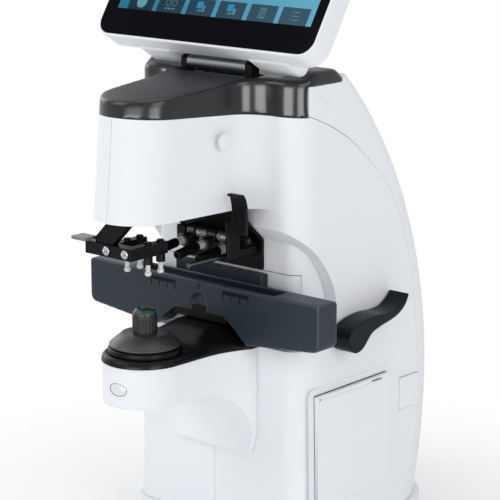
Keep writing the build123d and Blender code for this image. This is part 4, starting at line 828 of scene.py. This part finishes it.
class LENSMETER_OT_marking(bpy.types.Operator):
    """Dress the marking unit's frame, rails, carriage and lever, and build its three pens"""
    bl_idname = "lensmeter.marking"
    bl_label = "Marking unit"

    def execute(self, context):
        dressed("mark_frame", black_metal(), 0.4)
        dressed("mark_rails", brushed_finish("Dark rails", (0.10, 0.10, 0.11), 0.3), 0.2)
        dressed("marking_carriage", black_works(), 0.2, 32, make_room)
        softened("marking_lever", black_works(), 0.35, 12, None, lean_forward)
        clip = finish_for("Pen clips", (0.010, 0.013, 0.013), 0.3, 1400.0, 0.00002, 0.2)
        pale = finish_for("Pen barrels", (0.70, 0.70, 0.69), 0.35, 1200.0, 0.00001, 0.05)
        tip = [(0.02, -28.0), (1.3, -28.2), (1.5, -31.0), (2.5, -31.0), (3.0, -30.5), (3.1, -29.5),
               (3.1, -13.0), (2.7, -12.5), (2.7, -11.9), (0.02, -11.9)]
        barrel = [(0.02, -12.4), (2.6, -12.4), (2.6, -6.0), (0.02, -6.0)]
        collar = [(0.02, -6.5), (3.9, -6.5), (4.3, -6.1), (4.3, -4.5), (3.9, -4.1), (3.35, -4.1), (3.35, -0.3),
                  (2.9, 0.0), (0.02, 0.0)]
        springs = joined([coil(x, x + 9.0) for x in (-13.6, 4.5)])
        add_piece("pen_springs", *springs, steel(), "pens", 0.0, 60)
        middles = (-PEN_PITCH, 0.0, PEN_PITCH)
        hubs = [hub(0.0, 29.5, 2.0)] + [hub(x, 3.2, 3.9) for x in middles]
        for name, profile, more, finish, node in (("pen_tips", tip, [], black_works(), "pen_caps"),
                                                  ("pen_bodies", barrel, [], pale, "pen_barrels"),
                                                  ("pen_clips", collar, hubs, clip, "pen_holders")):
            shapes = [pen_part(profile, x) for x in middles] + more
            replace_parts(add_piece(name, *joined(shapes), finish, "pens", 0.0, 35), node)
        return {"FINISHED"}


def soft_corner(corner, before, after, steps=5):
    """A soft corner: the points before * (1 - t)^2 + corner * 2 t (1 - t) + after * t^2."""
    corner, before, after = np.array(corner), np.array(before), np.array(after)
    t = np.linspace(0, 1, steps)[:, None]
    return [tuple(p) for p in before * (1 - t) ** 2 + corner * 2 * t * (1 - t) + after * t ** 2]


def tray(half, low, high, corner, profile):
    """Rounded rectangles, one for each (inset, y) of the profile, joined and closed at both ends.

    Each one's corners have the radius corner - 0.75 * inset, and 0.3 at least.
    """
    rings = []
    for inset, y in profile:
        radius = max(corner - 0.75 * inset, 0.3)
        outline = rounded(-half + inset, half - inset, low + inset, high - inset, radius, 12)
        rings.append(np.stack([outline[:, 0], np.full(len(outline), y), outline[:, 1]], -1))
    count = len(rings[0])
    last = count * (len(rings) - 1)
    faces = list(grid_faces(len(rings), count, False, True)[:, ::-1])
    faces += [list(range(count)), list(range(last, last + count))[::-1]]
    return np.concatenate(rings), faces


def display_shell():
    """The display's tray with its rear slope, the bulge behind it and the block over the hinge."""
    rim = [(3.0, -16.0), (3.0, -24.9)] + soft_corner((0.0, -24.9), (0.9, -24.9), (0.0, -24.0))
    slope = soft_corner((0.0, -9.4), (0.0, -10.4), (0.88, -8.92))
    slope += soft_corner((11.9, -2.9), (10.85, -3.47), (13.1, -2.9))
    bulge = [(0.0, -12.0)] + soft_corner((0.0, 5.5), (0.0, -0.5), (6.0, 5.5), 9)
    return display_place(joined([tray(90.0, 0.3, 124.3, 12.0, rim + slope),
                                 tray(BULGE_HALF, 4.6, 62.0, 1.5, bulge),
                                 slab(rounded(-22.3, 22.3, 4.45, 8.0, 0.5), -2.5, 3.5)]))


class LENSMETER_OT_display(bpy.types.Operator):
    """Dress the display's shell, glass and hinge"""
    bl_idname = "lensmeter.display"
    bl_label = "Display"

    def execute(self, context):
        shell = add_piece("display_shell", *display_shell(), white_housing(), "display", 0.0, 50)
        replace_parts(shell, "display_housing")
        finish = finish_for("Screen glass", (0.001, 0.001, 0.0025), 0.08, 300.0, 0.0, 0.1, 0.03)
        outline = rounded(-GLASS_HALF, GLASS_HALF, GLASS_LOW, GLASS_HIGH, 10.0, 14)
        glass = display_place(slab(outline, -GLASS_FRONT, -GLASS_FRONT + 2.0))
        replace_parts(add_piece("screen_glass", *glass, finish, "display", 0.35, 40), "display_glass")
        dressed("lcd_panel", black_works(), 0.2)
        dressed("hinge_barrel", brushed_finish("Satin barrel", (0.24, 0.25, 0.28), 0.4), 0.4)
        dressed("hinge_bracket", black_metal(), 0.3)
        dressed("hinge_pin", black_metal(), 0.3)
        spans = ((-62.0, -30.6), (30.6, 66.0))
        edges = joined([slab(rounded(low, high, -0.9, 12.0, 5.0, 12), -12.9, 5.6) for low, high in spans])
        add_piece("display_back_edge", *display_place(edges), white_housing(), "display", 1.5, 40)
        return {"FINISHED"}


def picture_layer(name, outlines, lift, colour, glare_colour):
    """Thin flat glowing shapes a little in front of the glass, each with a painted glare towards the right."""
    y = -GLASS_FRONT - lift
    shapes = joined([slab(outline, y, y + lift + 0.02) for outline in outlines])
    finish = glow_with_painted_glare(name.replace("_", " ").capitalize(), colour, glare_colour)
    add_piece(name, *display_place(shapes), finish, "display")


def tile_signs(middles, z):
    """A plain sign for each tile after the first: a pair of lenses, two pages, a bin and a list."""
    steps = 28
    lenses = []
    for side in (-3.3, 3.3):
        outer, inner = ring(side, 1.5, 2.9, steps), ring(side, 1.5, 2.35, steps)
        after = [np.roll(points, -1, axis=0) for points in (outer, inner)]
        lenses += list(np.stack([inner, after[1], after[0], outer], 1))
    lenses += [rounded(3.9 * i - 5.4, 3.9 * i - 2.4, -4.4, -3.0, 0.4) for i in range(3)]
    page = [rounded(2.3, 4.6, -3.6, 1.8, 0.4), rounded(-2.8, 1.8, -3.6, -2.2, 0.4)]
    bars = [rounded(1.9 * i - 3.3, 1.9 * i - 2.7, -3.6, 2.8, 0.2) for i in range(4)]
    bars += [rounded(-4.0, 3.8, 3.4, 4.0, 0.25), rounded(-3.3, 3.0, -4.2, -3.6, 0.2),
             rounded(-1.2, 1.0, 4.0, 4.8, 0.2)]
    rows = []
    for i in range(3):
        foot = 3.3 * i - 3.4
        rows += [rounded(-4.6, -3.9, foot, foot + 0.7, 0.2), rounded(-1.6, 3.8, foot, foot + 0.6, 0.2)]
    plan = ([], lenses, page, page, bars, rows)
    return [np.array([x, z]) + outline * SIGN_SCALE for x, sign in zip(middles, plan) for outline in sign]


def reading_marks(z):
    """A cross in each panel, and short bars in a column beside it, as a reading would fill them."""
    out = []
    for x in (-38.0, 42.0):
        out += [rounded(x - 18, x + 18, z - 0.25, z + 0.25, 0.2),
                rounded(x - 0.25, x + 0.25, z - 16, z + 16, 0.2)]
        out += [rounded(x - 30, x - 22, z + 8 - 9 * i, z + 9.6 - 9 * i, 0.5) for i in range(3)]
    return out


class LENSMETER_OT_picture(bpy.types.Operator):
    """Draw the screen's picture: a field, two panels and a row of tiles with plain signs"""
    bl_idname = "lensmeter.picture"
    bl_label = "Screen picture"

    def execute(self, context):
        looks = context.scene.screen_looks
        left, right, low, high = PICTURE_LEFT, PICTURE_RIGHT, PICTURE_LOW, PICTURE_HIGH
        left_margin, margins, share, tile_height, header_height = 8.3, 12.2, 0.855, 11.3, 9.5
        field = [rounded(left, right, low, high, 0.4)]
        # Each layer's second colour is its painted glare at the right of the screen.
        picture_layer("screen_field", field, 0.04, tuple(looks.field), (0.11, 0.38, 0.53))
        pitch = (right - left - margins) / (looks.tiles - 1 + share)
        lefts = [left + left_margin + pitch * i for i in range(looks.tiles)]
        tiles = [rounded(x, x + pitch * share, low, low + tile_height, 0.5) for x in lefts]
        panels = [rounded(x0, x1, low + 18.5, high - 13, 1.5) for x0, x1 in ((left + 4, -1), (5, right - 4))]
        picture_layer("screen_tiles", tiles + panels, 0.08, tuple(looks.tile), (0.030, 0.085, 0.120))
        header = [rounded(left, right, high - header_height, high, 0.4)]
        picture_layer("screen_header", header, 0.08, (0.01, 0.06, 0.13), (0.03, 0.12, 0.22))
        middles, z = [x + pitch * 0.43 for x in lefts], low + 5.6
        picture_layer("screen_signs", tile_signs(middles, z), 0.12, (0.07, 0.17, 0.21), (0.14, 0.24, 0.29))
        picture_layer("screen_disc", [ring(middles[0], z, 4.2)], 0.12, (0.10, 0.32, 0.38), (0.13, 0.36, 0.42))
        blue = [rounded(x - 3.6, x + 1.4, z - 0.7, z + 3.9, 0.5) for x in middles[2:4]]
        picture_layer("screen_squares", blue, 0.16, (0.02, 0.20, 0.40), (0.02, 0.26, 0.50))
        targets = reading_marks((low + high) / 2 + 5)
        picture_layer("screen_targets", targets, 0.12, (0.10, 0.35, 0.45), (0.14, 0.42, 0.52))
        return {"FINISHED"}


def widen(shape):
    """Carry the door's front edge 0.35 mm nearer to its frame."""
    edge, step = -0.0335, 0.00035
    for vert in shape.verts:
        if vert.co.y < edge:
            vert.co.y -= step


def seat(shape):
    """Set the flap 0.25 mm forward in its window, and its bottom edge as much higher."""
    bottom, step = 0.085, 0.00025
    for vert in shape.verts:
        vert.co.y -= step
        if vert.co.z < bottom:
            vert.co.z += step


def slot_lip():
    """The strip in the paper slot's middle, 0.4 mm under the door's face, leaning with the side."""
    points, faces = slab(rectangle(77.6, 78.6, 109.8, 111.5), -30.6, 22.0)
    x, y, z = points.T
    c, s = math.cos(SIDE_DRAFT), math.sin(SIDE_DRAFT)
    return np.stack([x * c - z * s, y, x * s + z * c], -1), faces


def flush(shape):
    """Draw the frame's rim in to the leaning side, x = half width + proud - z * tan(draft)."""
    proud = 0.25
    for vert in shape.verts:
        side = (SIDE_HALF + proud) * MM - vert.co.z * math.tan(SIDE_DRAFT)
        vert.co.x = min(vert.co.x, side)
    bmesh.ops.dissolve_degenerate(shape, edges=shape.edges, dist=1e-6)


class LENSMETER_OT_printer(bpy.types.Operator):
    """Dress the side printer and the small covers on the sides"""
    bl_idname = "lensmeter.printer"
    bl_label = "Printer and side covers"

    def execute(self, context):
        dressed("connector_flap", white_housing(), 0.4, 30, seat)
        dressed("left_port_cover", white_housing(), 0.4, 30)
        add_piece("slot_lip", *slot_lip(), white_housing(), "door", 0.2, 30)
        dressed("printer_door", white_housing(), 0.4, 30, widen)
        dressed("printer_frame", white_housing(), 0.0, 30, flush)
        for node in ("printer_bucket", "print_head", "connector_block", "power_inlet", "switch_rocker"):
            dressed(node, black_works(), 0.3)
        rubber = finish_for("Roller rubber", (0.02, 0.02, 0.02), 0.7, 1200.0, 0.00003, 0.2)
        dressed("platen_roller", rubber, 0.3)
        dressed("paper_roll", finish_for("Paper", (0.80, 0.80, 0.78), 0.85, 900.0, 0.00003, 0.05), 0.2)
        return {"FINISHED"}


class LENSMETER_OT_works(bpy.types.Operator):
    """Give the inner works their finishes"""
    bl_idname = "lensmeter.works"
    bl_label = "Inner works"

    def execute(self, context):
        bronze = brushed_finish("Bush bronze", (0.45, 0.30, 0.14), 0.35)
        board = finish_for("Circuit board", (0.01, 0.09, 0.04), 0.4, 700.0, 0.00003, 0.3)
        plastic = finish_for("Grey nylon", (0.20, 0.20, 0.20), 0.5, 1200.0, 0.00002, 0.1)
        plan = {"chassis": steel(), "slide_rods": steel(), "lever_shaft": steel(), "power_unit": steel(),
                "rod_bushes": bronze, "main_board": board, "lever_gear": plastic, "table_rack": plastic,
                "sensor_module": black_works()}
        for node, finish in plan.items():
            solid = frame["nodes"][node]
            solid.data.materials.clear()
            solid.data.materials.append(finish)
        return {"FINISHED"}


def add_floor():
    """A pale floor that keeps the shadow near the object and looks plain white further away."""
    mesh = bpy.data.meshes.new("floor")
    mesh.from_pydata([(-8, -8, 0), (8, -8, 0), (8, 8, 0), (-8, 8, 0)], [], [(0, 1, 2, 3)])
    floor = new_object("floor", mesh)
    material, tree, shader = new_material("Floor")
    feed(tree, shader, {"Base Color": (0.96, 0.96, 0.96, 1), "Roughness": 0.7, "Specular IOR Level": 0.1})
    place = add_node(tree, "TexCoord")["Object"]
    reach = add_node(tree, "VectorMath", {0: place}, operation="LENGTH")["Value"]
    away = add_node(tree, "MapRange", {"Value": reach, "From Min": 0.08, "From Max": 0.34},
                    interpolation_type="SMOOTHSTEP")["Result"]
    fade = maths(tree, "MULTIPLY", away, seen_directly(tree))
    white = add_node(tree, "Emission", {"Color": (1, 1, 1, 1)})[0]
    mix = add_node(tree, "MixShader", {"Fac": fade, 1: shader.outputs[0], 2: white})[0]
    feed(tree, tree.nodes["Material Output"], {"Surface": mix})
    mesh.materials.append(material)


def add_lamps():
    """Soft lamps with their place, size and power in watts; the strips only gleam."""
    plan = (("key", (-0.9, -1.6, 1.5), (1.3, 1.3), 13.0),
            ("right", (1.9, -0.5, 0.9), (1.1, 1.1), 10.0),
            ("left", (-1.6, 0.1, 0.8), (1.0, 1.0), 5.0),
            ("top", (0.1, 0.1, 1.9), (1.2, 1.2), 7.0),
            ("low", (0.5, -1.5, 0.25), (1.2, 0.4), 2.4),
            ("strip_a", (0.24, -1.02, 0.14), (0.70, 0.26), 5.0),
            ("strip_b", (0.93, -0.45, 0.14), (0.45, 0.26), 3.4))
    target = Vector((0, -0.02, 0.25))
    for name, place, size, power in plan:
        lamp = bpy.data.lights.new(name, "AREA")
        lamp.shape = "RECTANGLE"
        lamp.size, lamp.size_y = size
        lamp.energy = power
        placed = new_object(name, lamp)
        placed.location = place
        placed.rotation_euler = (target - Vector(place)).to_track_quat("-Z", "Y").to_euler()
        placed.visible_diffuse = not name.startswith("strip")


def set_world(scene):
    """White where it is seen directly, and a plain soft fill for the light."""
    world = bpy.data.worlds.new("Studio")
    scene.world = world
    world.use_nodes = True
    tree = world.node_tree
    tree.nodes.clear()
    fill = add_node(tree, "Background", {"Color": (0.97, 0.98, 1.0, 1), "Strength": 0.5})[0]
    plain = add_node(tree, "Background", {"Color": (1, 1, 1, 1), "Strength": 1.0})[0]
    seen = seen_directly(tree)
    mix = add_node(tree, "MixShader", {"Fac": seen, 1: fill, 2: plain})[0]
    add_node(tree, "OutputWorld", {"Surface": mix})


def add_camera(scene):
    """A long lens at the photograph's angle."""
    azimuth, elevation, distance = math.radians(41.165), math.radians(13.35), 1.2799
    focal_pixels, picture_pixels, sensor_width = 1945.3, 500, 36.0
    target = Vector((-0.009589, 0.0, 0.190))
    flat = math.cos(elevation)
    away = Vector((math.sin(azimuth) * flat, -math.cos(azimuth) * flat, math.sin(elevation)))
    camera = bpy.data.cameras.new("camera")
    camera.sensor_width = sensor_width
    camera.lens = focal_pixels / picture_pixels * sensor_width
    camera.clip_start = 0.05
    view = new_object("camera", camera)
    view.location = target + away * distance
    view.rotation_euler = (-away).to_track_quat("-Z", "Y").to_euler()
    scene.camera = view


class LENSMETER_OT_stage(bpy.types.Operator):
    """Set up the pale floor, the soft lights and the camera"""
    bl_idname = "lensmeter.stage"
    bl_label = "Stage"

    def execute(self, context):
        add_floor()
        add_lamps()
        set_world(context.scene)
        add_camera(context.scene)
        context.scene.view_settings.view_transform = "Standard"
        return {"FINISHED"}


class LENSMETER_PT_panel(bpy.types.Panel):
    """The steps, in the order that main runs them"""
    bl_idname = "LENSMETER_PT_panel"
    bl_label = "Lensmeter"
    bl_space_type = "VIEW_3D"
    bl_region_type = "UI"
    bl_category = "Lensmeter"

    def draw(self, context):
        layout = self.layout
        for name in ("housing_looks", "black_looks", "screen_looks", "nose_looks"):
            looks = getattr(context.scene, name)
            box = layout.box()
            for key in type(looks).__annotations__:
                box.prop(looks, key)
        for step in STEPS:
            layout.operator(step.bl_idname)


GROUPS = {"housing_looks": HousingLooks, "black_looks": BlackLooks, "screen_looks": ScreenLooks,
          "nose_looks": NoseLooks}
STEPS = (LENSMETER_OT_housing, LENSMETER_OT_screw_covers, LENSMETER_OT_cap, LENSMETER_OT_stand_top,
         LENSMETER_OT_nosepiece, LENSMETER_OT_button, LENSMETER_OT_table, LENSMETER_OT_lever,
         LENSMETER_OT_holder, LENSMETER_OT_marking, LENSMETER_OT_display, LENSMETER_OT_picture,
         LENSMETER_OT_printer, LENSMETER_OT_works, LENSMETER_OT_stage)


def register():
    for group in GROUPS.values():
        bpy.utils.register_class(group)
    for name, group in GROUPS.items():
        setattr(bpy.types.Scene, name, PointerProperty(type=group))
    for step in STEPS:
        bpy.utils.register_class(step)
    bpy.utils.register_class(LENSMETER_PT_panel)


def unregister():
    bpy.utils.unregister_class(LENSMETER_PT_panel)
    for step in reversed(STEPS):
        bpy.utils.unregister_class(step)
    for name, group in GROUPS.items():
        delattr(bpy.types.Scene, name)
        bpy.utils.unregister_class(group)


def main():
    """Build every piece in order."""
    register()
    for step in STEPS:
        family, name = step.bl_idname.split(".")
        getattr(getattr(bpy.ops, family), name)()


if __name__ == "__main__":
    main()
